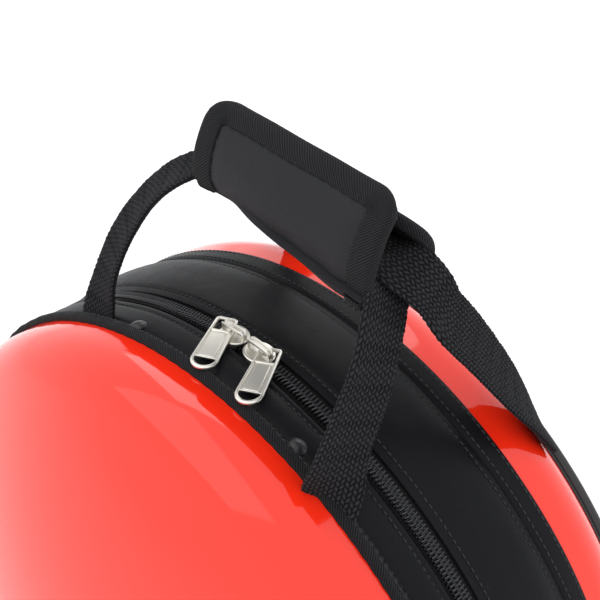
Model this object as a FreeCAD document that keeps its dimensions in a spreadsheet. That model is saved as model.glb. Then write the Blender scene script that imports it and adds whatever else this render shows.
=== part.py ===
import FreeCAD, Part
import Sketcher
import math
import os
from FreeCAD import Vector, Rotation, Placement

# Bowling ball bag: two domed hard shells joined by a gusset, a zip close to the
# front shell, and a two-strap handle with a padded wrap.
# X runs along the handle, the front shell faces -Y, +Z is up, and the feet
# stand on z = 0 with the origin under the middle of the bag.

doc = FreeCAD.newDocument("BowlingBallBag")
sheet = doc.addObject("Spreadsheet::Sheet", "Params")

PARAMS = [
    ("body_radius", 178.0),        # outline radius of both shells
    ("centre_height", 144.0),      # height of the outline's centre
    ("base_height", 8.0),          # underside of the gusset above the ground
    ("corner_radius", 50.0),       # outline radius at the two lower corners
    ("front_rim_y", -42.1),        # plane of the front shell's rim
    ("rear_rim_y", 37.1),          # plane of the rear shell's rim
    ("shell_wall", 3.0),
    ("dome_sphere_radius", 329.0),
    ("dome_sphere_offset", 254.5),  # sphere centre behind the rim plane
    ("dome_edge_radius", 27.0),
    ("lining_gap", 0.3),
    ("lining_thickness", 1.3),
    ("binding_width", 2.8),
    ("binding_stand", 2.0),        # binding stands this far outside the outline
    ("strip_front_y", -39.1),
    ("strip_rear_y", -22.0),
    ("strip_out", 1.0),
    ("strip_in", 1.1),
    ("zip_centre_y", -16.1),
    ("zip_gap", 0.9),
    ("coil_width", 3.05),
    ("coil_height", 2.4),
    ("tape_width", 11.0),
    ("tape_thickness", 0.8),
    ("tape_outer_radius", 176.7),
    ("zip_half_angle", 117.0),
    ("panel_front_y", -9.0),
    ("panel_rear_y", 26.7),
    ("panel_out", 2.2),
    ("rear_strip_front_y", 26.9),
    ("rear_strip_rear_y", 37.0),
    ("gusset_half_angle", 119.5),
    ("back_panel_inset", 16.2),
    ("back_panel_thickness", 5.0),
    ("piping_inset", 11.0),
    ("piping_height", 5.6),
    ("foot_x", 78.0),
    ("foot_front_y", -2.0),
    ("foot_rear_y", 29.0),
    ("foot_radius", 10.5),
    ("foot_tall", 7.1),
    ("screw_radius", 2.0),
    ("board_half_width", 92.0),
    ("board_thickness", 3.0),
    ("ball_radius", 109.5),
    ("cup_half_width", 72.0),
    ("cup_height", 25.0),
    ("rivet_angle", 15.43),
    ("rivet_y", -35.3),
    ("rivet_radius", 4.0),
    ("webbing_width", 24.0),
    ("webbing_thickness", 3.0),
    ("grip_left_x", -42.0),
    ("grip_right_x", 56.0),
    ("grip_wall", 3.0),
    ("grip_bottom_z", 375.5),
    ("grip_top_z", 418.0),
    ("grip_apex_y", 1.5),
    ("grip_front_y", -16.6),
    ("grip_rear_y", 22.4),
    ("grip_shoulder_z", 384.0),
    ("grip_top_radius", 11.8),
    ("slider_left_angle", -3.13),
    ("slider_right_angle", 1.65),
    ("slider_long", 14.0),
    ("slider_wide", 12.4),
    ("pull_length", 32.3),
    ("pull_skew", 28.0),
]
for row, (alias, value) in enumerate(PARAMS, 1):
    sheet.set("A%d" % row, alias)
    sheet.set("B%d" % row, str(value))
    sheet.setAlias("B%d" % row, alias)
doc.recompute()


def par(alias):
    return float(sheet.get(alias))


def bind(obj, prop, expr):
    obj.setExpression(prop, expr)


S = "Params."
NODES = []


def node(obj, label):
    obj.Label = label
    NODES.append(obj)
    return obj


# ---------------------------------------------------------------- helpers

def axis_rotation(start_deg):
    # local Z along +Y; local X at start_deg from the top, towards +X
    a = math.radians(start_deg)
    return Rotation(Vector(math.sin(a), 0, math.cos(a)),
                    Vector(math.cos(a), 0, -math.sin(a)), Vector(0, 1, 0), "ZXY")


def y_cylinder(name, radius, y0, length, start=0.0, angle=None):
    c = doc.addObject("Part::Cylinder", name)
    bind(c, "Radius", radius)
    bind(c, "Height", length)
    if angle is not None:
        bind(c, "Angle", angle)
    c.Placement = Placement(Vector(0, 0, 0), axis_rotation(start))
    bind(c, "Placement.Base.y", y0)
    bind(c, "Placement.Base.z", S + "centre_height")
    return c


def ring_sector(label, r_out, r_in, y0, length, half_alias):
    # part of a ring about the bag's long axis, centred on the top
    o = y_cylinder(label + "_outer", r_out, y0, length, -par(half_alias), "2 * %s%s" % (S, half_alias))
    i = y_cylinder(label + "_inner", r_in, "%s - 1" % y0, "%s + 2" % length)
    c = doc.addObject("Part::Cut", label + "_cut")
    c.Base, c.Tool = o, i
    return c


def box(name, x0, y0, z0, lx, ly, lz):
    b = doc.addObject("Part::Box", name)
    bind(b, "Length", lx)
    bind(b, "Width", ly)
    bind(b, "Height", lz)
    bind(b, "Placement.Base.x", x0)
    bind(b, "Placement.Base.y", y0)
    bind(b, "Placement.Base.z", z0)
    return b


def z_cylinder(name, r, x, y, z, height):
    c = doc.addObject("Part::Cylinder", name)
    bind(c, "Radius", r)
    bind(c, "Height", height)
    bind(c, "Placement.Base.x", x)
    bind(c, "Placement.Base.y", y)
    bind(c, "Placement.Base.z", z)
    return c


def cut(name, base, tool):
    c = doc.addObject("Part::Cut", name)
    c.Base, c.Tool = base, tool
    return c


def common(name, base, tool):
    c = doc.addObject("Part::Common", name)
    c.Base, c.Tool = base, tool
    return c


def fuse(name, shapes):
    f = doc.addObject("Part::MultiFuse", name)
    f.Shapes = shapes
    return f


def group(name, members):
    g = doc.addObject("Part::Compound", name)
    g.Links = members
    return g


def xz_plane(body):
    for feature in body.Origin.OriginFeatures:
        if feature.Role == "XZ_Plane":
            return feature
    raise RuntimeError("no XZ plane")


def add_outline(sk, inset_expr, inset):
    # closed outline: big arc, right corner, flat base, left corner
    R, rc = par("body_radius") - inset, par("corner_radius") - inset
    zc, zb = par("centre_height"), par("base_height") + inset
    drop = zc - zb - rc
    xc = math.sqrt((R - rc) ** 2 - drop ** 2)
    a = math.atan2(drop, xc)
    n = Vector(0, 0, 1)
    big = sk.addGeometry(Part.ArcOfCircle(Part.Circle(Vector(0, zc, 0), n, R), -a, math.pi + a), False)
    right = sk.addGeometry(Part.ArcOfCircle(Part.Circle(Vector(xc, zb + rc, 0), n, rc), -math.pi / 2, -a), False)
    left = sk.addGeometry(Part.ArcOfCircle(Part.Circle(Vector(-xc, zb + rc, 0), n, rc), math.pi + a, 1.5 * math.pi), False)
    line = sk.addGeometry(Part.LineSegment(Vector(-xc, zb, 0), Vector(xc, zb, 0)), False)
    C = Sketcher.Constraint
    sk.addConstraint(C("Tangent", big, 1, right, 2))
    sk.addConstraint(C("Tangent", big, 2, left, 1))
    sk.addConstraint(C("Tangent", right, 1, line, 2))
    sk.addConstraint(C("Tangent", left, 2, line, 1))
    sk.addConstraint(C("PointOnObject", big, 3, -2))
    k = sk.addConstraint(C("DistanceY", -1, 1, big, 3, zc))
    bind(sk, "Constraints[%d]" % k, S + "centre_height")
    k = sk.addConstraint(C("Radius", big, R))
    bind(sk, "Constraints[%d]" % k, "%sbody_radius - (%s)" % (S, inset_expr))
    k = sk.addConstraint(C("Radius", right, rc))
    bind(sk, "Constraints[%d]" % k, "%scorner_radius - (%s)" % (S, inset_expr))
    k = sk.addConstraint(C("Radius", left, rc))
    bind(sk, "Constraints[%d]" % k, "%scorner_radius - (%s)" % (S, inset_expr))
    k = sk.addConstraint(C("DistanceY", -1, 1, line, 1, zb))
    bind(sk, "Constraints[%d]" % k, "%sbase_height + (%s)" % (S, inset_expr))


def outline_body(name, y0, length, outer, inner=None):
    # prism (or ring) of the outline from y0 to y0 + length; insets are
    # (expression, number) pairs
    body = doc.addObject("PartDesign::Body", name)
    sk = body.newObject("Sketcher::SketchObject", name + "_sketch")
    sk.AttachmentSupport = [(xz_plane(body), "")]
    sk.MapMode = "FlatFace"
    bind(sk, "AttachmentOffset.Base.z", "-(%s)" % y0)
    add_outline(sk, *outer)
    if inner:
        add_outline(sk, *inner)
    pad = body.newObject("PartDesign::Pad", name + "_pad")
    pad.Profile = sk
    bind(pad, "Length", length)
    pad.Reversed = True
    sk.Visibility = False
    return body


def dome(name, side, inset, extra):
    # solid dome of one shell, inset from its outside; extra lengthens it past
    # the rim so that it cuts cleanly
    inset_expr, inset_num = inset
    if side == "front":
        prism = outline_body(name + "_prism", "%sfront_rim_y - 110" % S, "110 + %s" % extra, inset)
        centre = "%sfront_rim_y + %sdome_sphere_offset" % (S, S)
    else:
        prism = outline_body(name + "_prism", "%srear_rim_y - %s" % (S, extra), "110 + %s" % extra, inset)
        centre = "%srear_rim_y - %sdome_sphere_offset" % (S, S)
    ball = doc.addObject("Part::Sphere", name + "_sphere")
    bind(ball, "Radius", "%sdome_sphere_radius - (%s)" % (S, inset_expr))
    bind(ball, "Placement.Base.y", centre)
    bind(ball, "Placement.Base.z", S + "centre_height")
    raw = common(name + "_raw", prism, ball)
    doc.recompute()
    rim = par("front_rim_y") if side == "front" else par("rear_rim_y")
    edges = []
    faces = raw.Shape.Faces
    cap = [f for f in faces if isinstance(f.Surface, Part.Sphere)]
    for i, e in enumerate(raw.Shape.Edges, 1):
        if abs(e.BoundBox.YMin - rim) > 5 and any(e.isSame(x) for f in cap for x in f.Edges):
            n = sum(1 for f in faces for x in f.Edges if x.isSame(e))
            if n >= 2 and not any(e.isSame(x) for f in cap for g in cap if g is not f for x in g.Edges):
                edges.append(i)
    fil = doc.addObject("Part::Fillet", name)
    fil.Base = raw
    r = par("dome_edge_radius") - inset_num
    fil.Edges = [(i, r, r) for i in edges]
    doc.recompute()
    return fil


def radial(angle_deg):
    a = math.radians(angle_deg)
    return Vector(math.sin(a), 0, math.cos(a))


def tangent(angle_deg):
    a = math.radians(angle_deg)
    return Vector(math.cos(a), 0, -math.sin(a))


def surface_frame(angle_deg, y):
    # local X along the outline (towards +angle), local Y along +Y, local Z
    # outwards, with the origin on the long axis
    u, w = tangent(angle_deg), radial(angle_deg)
    return Placement(Vector(0, y, par("centre_height")), Rotation(u, Vector(0, 1, 0), w, "ZXY"))


# ---------------------------------------------------------------- shells

wall = (S + "shell_wall", par("shell_wall"))
lin_a = ("%sshell_wall + %slining_gap" % (S, S), par("shell_wall") + par("lining_gap"))
lin_b = ("%sshell_wall + %slining_gap + %slining_thickness" % (S, S, S),
         par("shell_wall") + par("lining_gap") + par("lining_thickness"))

for side in ("front", "rear"):
    outer = dome(side + "_dome_outer", side, ("0", 0.0), "0")
    inner = dome(side + "_dome_inner", side, wall, "1")
    node(cut(side + "_shell_cut", outer, inner), side + "_shell")
    lo = dome(side + "_lining_outer", side, lin_a, "0")
    li = dome(side + "_lining_inner", side, lin_b, "1")
    node(cut(side + "_lining_cut", lo, li), side + "_shell_lining")

# twill binding sewn round the front shell's rim
node(outline_body("front_binding_body", S + "front_rim_y + 0.1", S + "binding_width",
                  ("-%sbinding_stand" % S, -par("binding_stand")),
                  (S + "shell_wall", par("shell_wall"))), "front_rim_binding")

# padded strip between the binding and the zip
strip = outline_body("front_strip_body", S + "strip_front_y", "%sstrip_rear_y - %sstrip_front_y" % (S, S),
                     ("-%sstrip_out" % S, -par("strip_out")), (S + "strip_in", par("strip_in")))


def rivet_bore(tag, sign):
    c = doc.addObject("Part::Cylinder", "rivet_bore_" + tag)
    c.Radius = 1.7
    c.Height = 12.0
    c.Placement = Placement(Vector(0, par("rivet_y"), par("centre_height")) + radial(sign * par("rivet_angle")) * 170.0,
                            Rotation(Vector(0, 0, 1), radial(sign * par("rivet_angle"))))
    return c


strip_cut1 = cut("front_strip_cut1", strip, rivet_bore("left", -1))
node(cut("front_strip_cut2", strip_cut1, rivet_bore("right", 1)), "front_gusset_strip")

# ---------------------------------------------------------------- rivets
rivets, burrs = [], []
for tag, sign in (("left", -1), ("right", 1)):
    head = doc.addObject("Part::Feature", "rivet_head_" + tag)
    # low dome head: a ball cap standing on the strip, with its shank
    rr = par("rivet_radius")
    cap_h = 1.9
    ball_r = (rr * rr + cap_h * cap_h) / (2 * cap_h)
    ball = Part.makeSphere(ball_r, Vector(0, 0, cap_h - ball_r))
    slab = Part.makeCylinder(rr + 1, cap_h + 1)
    rim = Part.makeCylinder(rr, 0.35)
    shank = Part.makeCylinder(1.55, 4.2, Vector(0, 0, -4.1))
    shape = ball.common(slab).fuse(rim).fuse(shank).removeSplitter()
    head.Shape = shape
    at = Vector(0, par("rivet_y"), par("centre_height")) + radial(sign * par("rivet_angle")) * (par("body_radius") + par("strip_out") + 0.1)
    head.Placement = Placement(at, Rotation(Vector(0, 0, 1), radial(sign * par("rivet_angle"))))
    rivets.append(head)
    burr = doc.addObject("Part::Feature", "rivet_burr_" + tag)
    burr.Shape = Part.makeCylinder(3.6, 0.7).cut(Part.makeCylinder(1.65, 0.7))
    at = Vector(0, par("rivet_y"), par("centre_height")) + radial(sign * par("rivet_angle")) * (par("body_radius") - par("strip_in") - 0.85)
    burr.Placement = Placement(at, Rotation(Vector(0, 0, 1), radial(sign * par("rivet_angle"))))
    burrs.append(burr)
node(group("rivet_group", rivets), "strip_rivets")
node(group("burr_group", burrs), "rivet_burrs")

# ---------------------------------------------------------------- zip
coil_in = S + "tape_outer_radius + 0.1"
node(ring_sector("front_zip_tape_ring", S + "tape_outer_radius", "%stape_outer_radius - %stape_thickness" % (S, S),
                 "%szip_centre_y - %szip_gap / 2 - %stape_width" % (S, S, S), S + "tape_width", "gusset_half_angle"),
     "front_zip_tape")
node(ring_sector("rear_zip_tape_ring", S + "tape_outer_radius", "%stape_outer_radius - %stape_thickness" % (S, S),
                 "%szip_centre_y + %szip_gap / 2" % (S, S), S + "tape_width", "gusset_half_angle"),
     "rear_zip_tape")
node(ring_sector("front_zip_coil_ring", "%s + %scoil_height" % (coil_in, S), coil_in,
                 "%szip_centre_y - %szip_gap / 2 - %scoil_width" % (S, S, S), S + "coil_width", "zip_half_angle"),
     "front_zip_coil")
node(ring_sector("rear_zip_coil_ring", "%s + %scoil_height" % (coil_in, S), coil_in,
                 "%szip_centre_y + %szip_gap / 2" % (S, S), S + "coil_width", "zip_half_angle"),
     "rear_zip_coil")

stops = []
for tag, sign in (("left", -1), ("right", 1)):
    st = doc.addObject("Part::Box", "zip_stop_" + tag)
    st.Length, st.Width, st.Height = 3.4, 3.4, 3.2
    fr = surface_frame(sign * (par("zip_half_angle") + 0.75), 0)
    st.Placement = fr.multiply(Placement(Vector(-1.7, par("zip_centre_y") + 0.5, par("tape_outer_radius") + 0.1), Rotation()))
    stops.append(st)
node(group("zip_stop_group", stops), "zip_end_stops")

# ---------------------------------------------------------------- gusset
node(ring_sector("main_panel_ring", "%sbody_radius + %spanel_out" % (S, S), S + "tape_outer_radius + 0.1",
                 S + "panel_front_y", "%spanel_rear_y - %spanel_front_y" % (S, S), "gusset_half_angle"),
     "main_gusset_panel")
node(ring_sector("rear_strip_ring", "%sbody_radius + %sstrip_out" % (S, S), S + "tape_outer_radius + 0.1",
                 S + "rear_strip_front_y", "%srear_strip_rear_y - %srear_strip_front_y" % (S, S), "gusset_half_angle"),
     "rear_gusset_strip")
node(ring_sector("gusset_lining_ring", S + "tape_outer_radius - 1.1", S + "tape_outer_radius - 2.3",
                 S + "panel_front_y + 0.5", "%srear_strip_rear_y - %spanel_front_y - 0.6" % (S, S), "gusset_half_angle"),
     "gusset_lining")


def lower_ring(label, y0, length, out_expr, out, z_top):
    ring = outline_body(label + "_body", y0, length, out, (S + "strip_in", par("strip_in")))
    b = box(label + "_keep", "-250", "%s - 5" % y0, "-20", "500", "%s + 10" % length, z_top)
    return common(label + "_common", ring, b)


# height where the panels and the lower pieces meet, just below the ends of the
# ring sectors
low_top = "%scentre_height + (%sbody_radius + 3) * cos(%sgusset_half_angle * 1 deg) + 19.5" % (S, S, S)
strip_out = ("-%sstrip_out * 0.8" % S, -par("strip_out") * 0.8)
node(lower_ring("hinge_lid", S + "strip_rear_y + 0.1", "%szip_centre_y - %sstrip_rear_y - 1.3" % (S, S), None, strip_out, low_top),
     "hinge_strip_front")
node(lower_ring("hinge_body", S + "zip_centre_y + 1.2", "%spanel_front_y - %szip_centre_y - 1.4" % (S, S), None, strip_out, low_top),
     "hinge_strip_rear")
base_raw = lower_ring("base_panel", S + "panel_front_y", "%srear_strip_rear_y - %spanel_front_y" % (S, S), None,
                      ("-%sstrip_out * 0.8" % S, -par("strip_out") * 0.8), low_top)

feet_at = [(sx, fy) for sx in ("-", "") for fy in ("foot_front_y", "foot_rear_y")]


def four(name, radius, z, height):
    members = []
    for i, (sx, fy) in enumerate(feet_at):
        members.append(z_cylinder("%s_%d" % (name, i), radius, "%s%sfoot_x" % (sx, S), S + fy, z, height))
    return members


node(cut("base_panel_bored", base_raw, fuse("base_bores", four("base_bore", S + "screw_radius + 0.2", "2", "20"))), "base_panel")

board = box("base_board_box", "-%sboard_half_width" % S, "%szip_centre_y + 1.5" % S, "%sbase_height + %sstrip_in + 0.2" % (S, S),
            "2 * %sboard_half_width" % S, "%srear_strip_rear_y - %szip_centre_y - 1.5" % (S, S), S + "board_thickness")
node(cut("base_board_bored", board, fuse("board_bores", four("board_bore", S + "screw_radius + 0.2", "2", "20"))), "base_board")

# ---------------------------------------------------------------- feet
feet, screws, nuts = [], [], []
for i, (sx, fy) in enumerate(feet_at):
    x, y = "%s%sfoot_x" % (sx, S), S + fy
    cone = doc.addObject("Part::Cone", "foot_cone_%d" % i)
    bind(cone, "Radius1", S + "foot_radius - 1.5")
    bind(cone, "Radius2", S + "foot_radius")
    bind(cone, "Height", S + "foot_tall")
    bind(cone, "Placement.Base.x", x)
    bind(cone, "Placement.Base.y", y)
    bored = cut("foot_bored_%d" % i, cone, z_cylinder("foot_bore_%d" % i, S + "screw_radius + 0.2", x, y, "-1", "10"))
    feet.append(cut("foot_%d" % i, bored, z_cylinder("foot_recess_%d" % i, "5", x, y, "-1", "4.4")))
    shank = z_cylinder("screw_shank_%d" % i, S + "screw_radius", x, y, "3.2", "13.0")
    head = z_cylinder("screw_head_%d" % i, "4.2", x, y, "1.3", "2.05")
    screws.append(fuse("screw_%d" % i, [shank, head]))
    nut = z_cylinder("nut_body_%d" % i, "4.4", x, y, "%sbase_height + %sstrip_in + %sboard_thickness + 0.3" % (S, S, S), "2.6")
    nuts.append(cut("nut_%d" % i, nut, z_cylinder("nut_bore_%d" % i, S + "screw_radius + 0.1", x, y, "5", "20")))
node(group("feet_group", feet), "base_feet")
node(group("screw_group", screws), "foot_screws")
node(group("nut_group", nuts), "foot_nuts")

# ---------------------------------------------------------------- ball cup
cup_box = box("cup_box", "-%scup_half_width" % S, "-49", "%sbase_height + %sstrip_in + %sboard_thickness + 3.3" % (S, S, S),
              "2 * %scup_half_width" % S, "93", S + "cup_height")
dish = doc.addObject("Part::Sphere", "cup_dish")
bind(dish, "Radius", S + "ball_radius")
bind(dish, "Placement.Base.y", "-2.5")
bind(dish, "Placement.Base.z", "%sbase_height + %sstrip_in + %sboard_thickness + 10.5 + %sball_radius" % (S, S, S, S))
node(cut("ball_cup_cut", cup_box, dish), "ball_cup")

# ---------------------------------------------------------------- back panel
def rear_sphere(name, extra):
    b = doc.addObject("Part::Sphere", name)
    bind(b, "Radius", "%sdome_sphere_radius + (%s)" % (S, extra))
    bind(b, "Placement.Base.y", "%srear_rim_y - %sdome_sphere_offset" % (S, S))
    bind(b, "Placement.Base.z", S + "centre_height")
    return b


def rear_layer(label, outer, inner, low, high):
    prism = outline_body(label + "_prism", S + "rear_rim_y + 3", "110", outer, inner)
    top = common(label + "_top", prism, rear_sphere(label + "_out", high))
    return cut(label + "_cut", top, rear_sphere(label + "_in", low))


node(rear_layer("back_panel", (S + "back_panel_inset", par("back_panel_inset")), None, "0.2", S + "back_panel_thickness"), "back_panel")
node(rear_layer("back_piping", (S + "piping_inset", par("piping_inset")),
                (S + "back_panel_inset - 0.1", par("back_panel_inset") - 0.1), "0.2", S + "piping_height"), "back_panel_piping")

# ---------------------------------------------------------------- straps
# Webbing straps follow a path of points; the flat of the webbing turns from
# along the rim, at its sewn end, to along Y inside the grip.

def webbing(points, widths):
    w, t = par("webbing_width") / 2, par("webbing_thickness") / 2
    wires = []
    n = len(points)
    for i, p in enumerate(points):
        a, b = points[max(i - 1, 0)], points[min(i + 1, n - 1)]
        along = (b - a).normalize()
        side = widths[i] - along * widths[i].dot(along)
        side.normalize()
        up = side.cross(along)
        c = [p + side * w + up * t, p - side * w + up * t, p - side * w - up * t, p + side * w - up * t]
        wires.append(Part.makePolygon(c + [c[0]]))
    return Part.makeLoft(wires, True, True)


rim_y = par("front_rim_y")
zc = par("centre_height")
FRONT_HALF = [(74.2, 4.9, 159.0), (75.0, 5.4, 164.5), (76.2, 9.0, 173.5), (76.6, 14.0, 184.5), (75.4, 19.0, 196.0),
              (72.8, 24.0, 208.0), (69.2, 28.7, 218.5), (65.4, 32.6, 226.0), (61.6, 37.4, 232.6), (57.2, 42.2, 237.2),
              (52.0, 43.4, 237.8), (44.0, 43.5, 237.8), (20.0, 43.5, 237.8), (0.0, 43.5, 237.8)]
REAR_HALF = [(83.9, 110.6, 145.0), (83.6, 109.0, 151.0), (82.5, 103.0, 161.5), (81.0, 97.0, 172.0), (79.3, 90.0, 184.0),
             (77.5, 82.0, 196.0), (75.2, 74.0, 207.5), (72.6, 66.5, 218.0), (69.6, 59.8, 227.6), (65.8, 54.0, 234.8),
             (61.4, 49.4, 240.0), (55.0, 46.9, 242.2), (44.0, 46.2, 242.4), (20.0, 46.1, 242.4), (0.0, 46.1, 242.4)]


def strap_shape(half, turn):
    # the half path runs from a base to the middle; the other half mirrors it
    pts = [Vector(x, y + rim_y, z + zc) for x, y, z in half]
    path = [Vector(-p.x, p.y, p.z) for p in pts[:-1]] + list(reversed(pts))
    widths = []
    for i in range(len(path)):
        k = min(i, len(path) - 1 - i)
        f = 1.0 - min(1.0, k / turn) if turn else 0.0
        f = f * f * (3 - 2 * f)
        a = math.radians(80.0 * f)
        widths.append(Vector(math.sin(a), math.cos(a), 0))
    return webbing(path, widths)


# both ends are sewn into the seam beside the front rim, along the rim
trim = Part.makeCylinder(par("body_radius") + par("strip_out") + 0.2, 200, Vector(0, rim_y - 60, zc), Vector(0, 1, 0))
trim = trim.fuse(Part.makeCylinder(par("body_radius") + par("binding_stand") + 0.3, 60, Vector(0, rim_y - 57.0, zc), Vector(0, 1, 0)))
front_strap = doc.addObject("Part::Feature", "front_strap_shape")
front_strap.Shape = strap_shape(FRONT_HALF, 5.0).cut(trim)
node(front_strap, "front_handle_strap")

cap = Part.makeSphere(par("dome_sphere_radius") + par("piping_height") + 0.2,
                      Vector(0, par("rear_rim_y") - par("dome_sphere_offset"), zc))
wall_cyl = Part.makeCylinder(par("body_radius") + 0.4, 300, Vector(0, par("rear_rim_y") - 100, zc), Vector(0, 1, 0))
rear_strap = doc.addObject("Part::Feature", "rear_strap_shape")
rear_strap.Shape = strap_shape(REAR_HALF, 0).cut(cap.common(wall_cyl))
node(rear_strap, "rear_handle_strap")

# ---------------------------------------------------------------- grip
# A padded wrap with a tent-shaped section. Its front wall is a flap that folds
# forward from the bottom; a hook strip on a tongue inside holds the flap's top.
gx0, gx1 = par("grip_left_x"), par("grip_right_x")
gt, gz0, gz1 = par("grip_wall"), par("grip_bottom_z"), par("grip_top_z")
gya, gyf, gyr = par("grip_apex_y"), par("grip_front_y"), par("grip_rear_y")
gzr = par("grip_shoulder_z")


def grip_section(inset):
    # two leaning walls meeting in a round top, on a flat bottom
    r_top, r_low = par("grip_top_radius") - inset, 5.0 - min(inset, 4.4)
    zr = gz1 - par("grip_top_radius")
    V = Vector

    def tangent_from(y0, sign):
        # point of tangency on the top arc of the wall that starts at (y0, gzr)
        dy, dz = gya - y0, zr - gzr
        dist = math.hypot(dy, dz)
        base = math.atan2(dz, dy)
        off = math.asin(par("grip_top_radius") / dist)
        ang = base + sign * off
        return ang
    af, ar = tangent_from(gyf, 1), tangent_from(gyr, -1)
    nf = (-math.sin(af), math.cos(af))
    nr = (math.sin(ar), -math.cos(ar))
    z0 = gz0 + inset
    # wall lines moved inwards by the inset
    pf = (gyf - nf[0] * inset, gzr - nf[1] * inset)
    pr = (gyr - nr[0] * inset, gzr - nr[1] * inset)
    tf = (gya + nf[0] * r_top, zr + nf[1] * r_top)
    tr = (gya + nr[0] * r_top, zr + nr[1] * r_top)

    def low(p, ang):
        t = (z0 - p[1]) / math.sin(ang)
        return (p[0] + t * math.cos(ang), z0)
    lf, lr = low(pf, af), low(pr, ar)
    P = lambda q: V(gx0, q[0], q[1])
    mid = V(gx0, gya, zr + r_top)
    wire = Part.Wire([Part.LineSegment(P(lf), P(tf)).toShape(), Part.Arc(P(tf), mid, P(tr)).toShape(),
                      Part.LineSegment(P(tr), P(lr)).toShape(), Part.LineSegment(P(lr), P(lf)).toShape()])
    solid = Part.Face(wire).extrude(V(gx1 - gx0, 0, 0))
    low_edges = [e for e in solid.Edges if abs(e.BoundBox.ZMax - z0) < 1e-6 and e.BoundBox.XLength > 50]
    return solid.makeFillet(r_low, low_edges)


def grip_layer(a, b):
    return grip_section(a).cut(grip_section(b))


split_z = gz0 + 6.6
front_y = grip_section(0.0).common(Part.makeBox(300, 300, 0.01, Vector(-150, -150, split_z))).BoundBox.YMin
seam_y = gya + 1.0
front_half = Part.makeBox(160, 60, 80, Vector(-80, seam_y - 60 - 0.2, split_z + 0.2))
front_gap = Part.makeBox(160, 60, 80, Vector(-80, seam_y - 60 + 0.2, split_z - 0.2))
outer_layer = grip_layer(0.0, 1.2)
inner_layer = grip_layer(1.2, gt)
edge_layer = grip_layer(-0.9, -0.02)
ends = Part.makeBox(8, 90, 90, Vector(gx0, -50, 370)).fuse(Part.makeBox(8, 90, 90, Vector(gx1 - 8, -50, 370)))
top_band = Part.makeBox(160, 60, 40, Vector(-80, seam_y - 60, gz1 - 8.0))
high = Part.makeBox(160, 90, 60, Vector(-80, -50, gz1 - 22.0))
rear_half = Part.makeBox(160, 60, 80, Vector(-80, seam_y + 0.2, gz0 - 1))
narrow = Part.makeBox(gx1 - gx0 - 20, 90, 90, Vector(gx0 + 10, -50, 370))
tongue = grip_layer(gt + 1.0, gt + 2.0).fuse(grip_layer(gt + 0.1, gt + 1.0).common(rear_half)).common(high).common(narrow)
for label, shape in (("grip_flap_cover", outer_layer.common(front_half)), ("grip_flap_pad", inner_layer.common(front_half)),
                     ("grip_flap_binding", edge_layer.common(front_half).common(ends.fuse(top_band))),
                     ("grip_loop_patch", grip_layer(gt + 0.1, gt + 0.85).common(front_half).common(high).common(narrow)),
                     ("grip_wrap_cover", outer_layer.cut(front_gap)), ("grip_wrap_pad", inner_layer.cut(front_gap)),
                     ("grip_wrap_binding", edge_layer.common(rear_half).common(ends)),
                     ("grip_hook_patch", tongue)):
    f = doc.addObject("Part::Feature", label + "_shape")
    f.Shape = shape.removeSplitter()
    node(f, label)
print("flap hinge at y %.3f z %.3f" % (front_y, split_z))

# ---------------------------------------------------------------- sliders
def local_box(x0, y0, z0, lx, ly, lz):
    return Part.makeBox(lx, ly, lz, Vector(x0, y0, z0))


def slider_shape():
    # local frame: X along the zip, Y across it, Z outwards from the long axis
    L, W = par("slider_long"), par("slider_wide")
    r0 = par("tape_outer_radius")
    lower = local_box(-L / 2, -W / 2, r0 - 3.2, L, W, 1.5)
    upper = local_box(-L / 2, -W / 2, r0 + 3.3, L, W, 1.6)
    web = local_box(-2.5, -0.22, r0 - 2.0, 5.0, 0.44, 5.6)
    round_off = Part.makeCylinder(L / 2 + 0.2, 20, Vector(0, 0, r0 - 6))
    body = lower.fuse(upper).common(round_off).fuse(web)
    top = r0 + 4.9
    arch = local_box(-6.3, -1.6, top - 0.2, 12.6, 3.2, 4.4)
    gap = local_box(-4.7, -3, top, 9.4, 6, 2.9)
    return body.fuse(arch.cut(gap)).removeSplitter()


def pull_shape():
    # local frame: origin at the bridge leg inside the eye, the plate pointing
    # along -Y
    Lp = par("pull_length")
    w0, w1, th = 4.8, 5.75, 1.6
    y_top = 4.3
    y_bot = -(Lp - y_top - w1)
    V = Vector
    edges = [Part.LineSegment(V(-w0 + 1.4, y_top, 0), V(w0 - 1.4, y_top, 0)).toShape(),
             Part.LineSegment(V(w0 - 1.4, y_top, 0), V(w0, y_top - 1.4, 0)).toShape(),
             Part.LineSegment(V(w0, y_top - 1.4, 0), V(w1, y_bot, 0)).toShape(),
             Part.Arc(V(w1, y_bot, 0), V(0, y_bot - w1, 0), V(-w1, y_bot, 0)).toShape(),
             Part.LineSegment(V(-w1, y_bot, 0), V(-w0, y_top - 1.4, 0)).toShape(),
             Part.LineSegment(V(-w0, y_top - 1.4, 0), V(-w0 + 1.4, y_top, 0)).toShape()]
    plate = Part.Face(Part.Wire(edges)).extrude(V(0, 0, th))
    eye = local_box(-3.2, -3.0, -1, 6.4, 5.8, 5)
    r = 3.9
    half = Part.Face(Part.Wire([Part.Arc(V(r, y_bot, 0), V(0, y_bot - r, 0), V(-r, y_bot, 0)).toShape(),
                                Part.LineSegment(V(-r, y_bot, 0), V(r, y_bot, 0)).toShape()]))
    slot = half.extrude(V(0, 0, 5)).translated(V(0, 0, -1))
    recess = local_box(-3.7, y_bot + 1.3, th - 0.35, 7.4, -y_bot - 5.9, 1)
    return plate.cut(eye).cut(slot).cut(recess)


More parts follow.
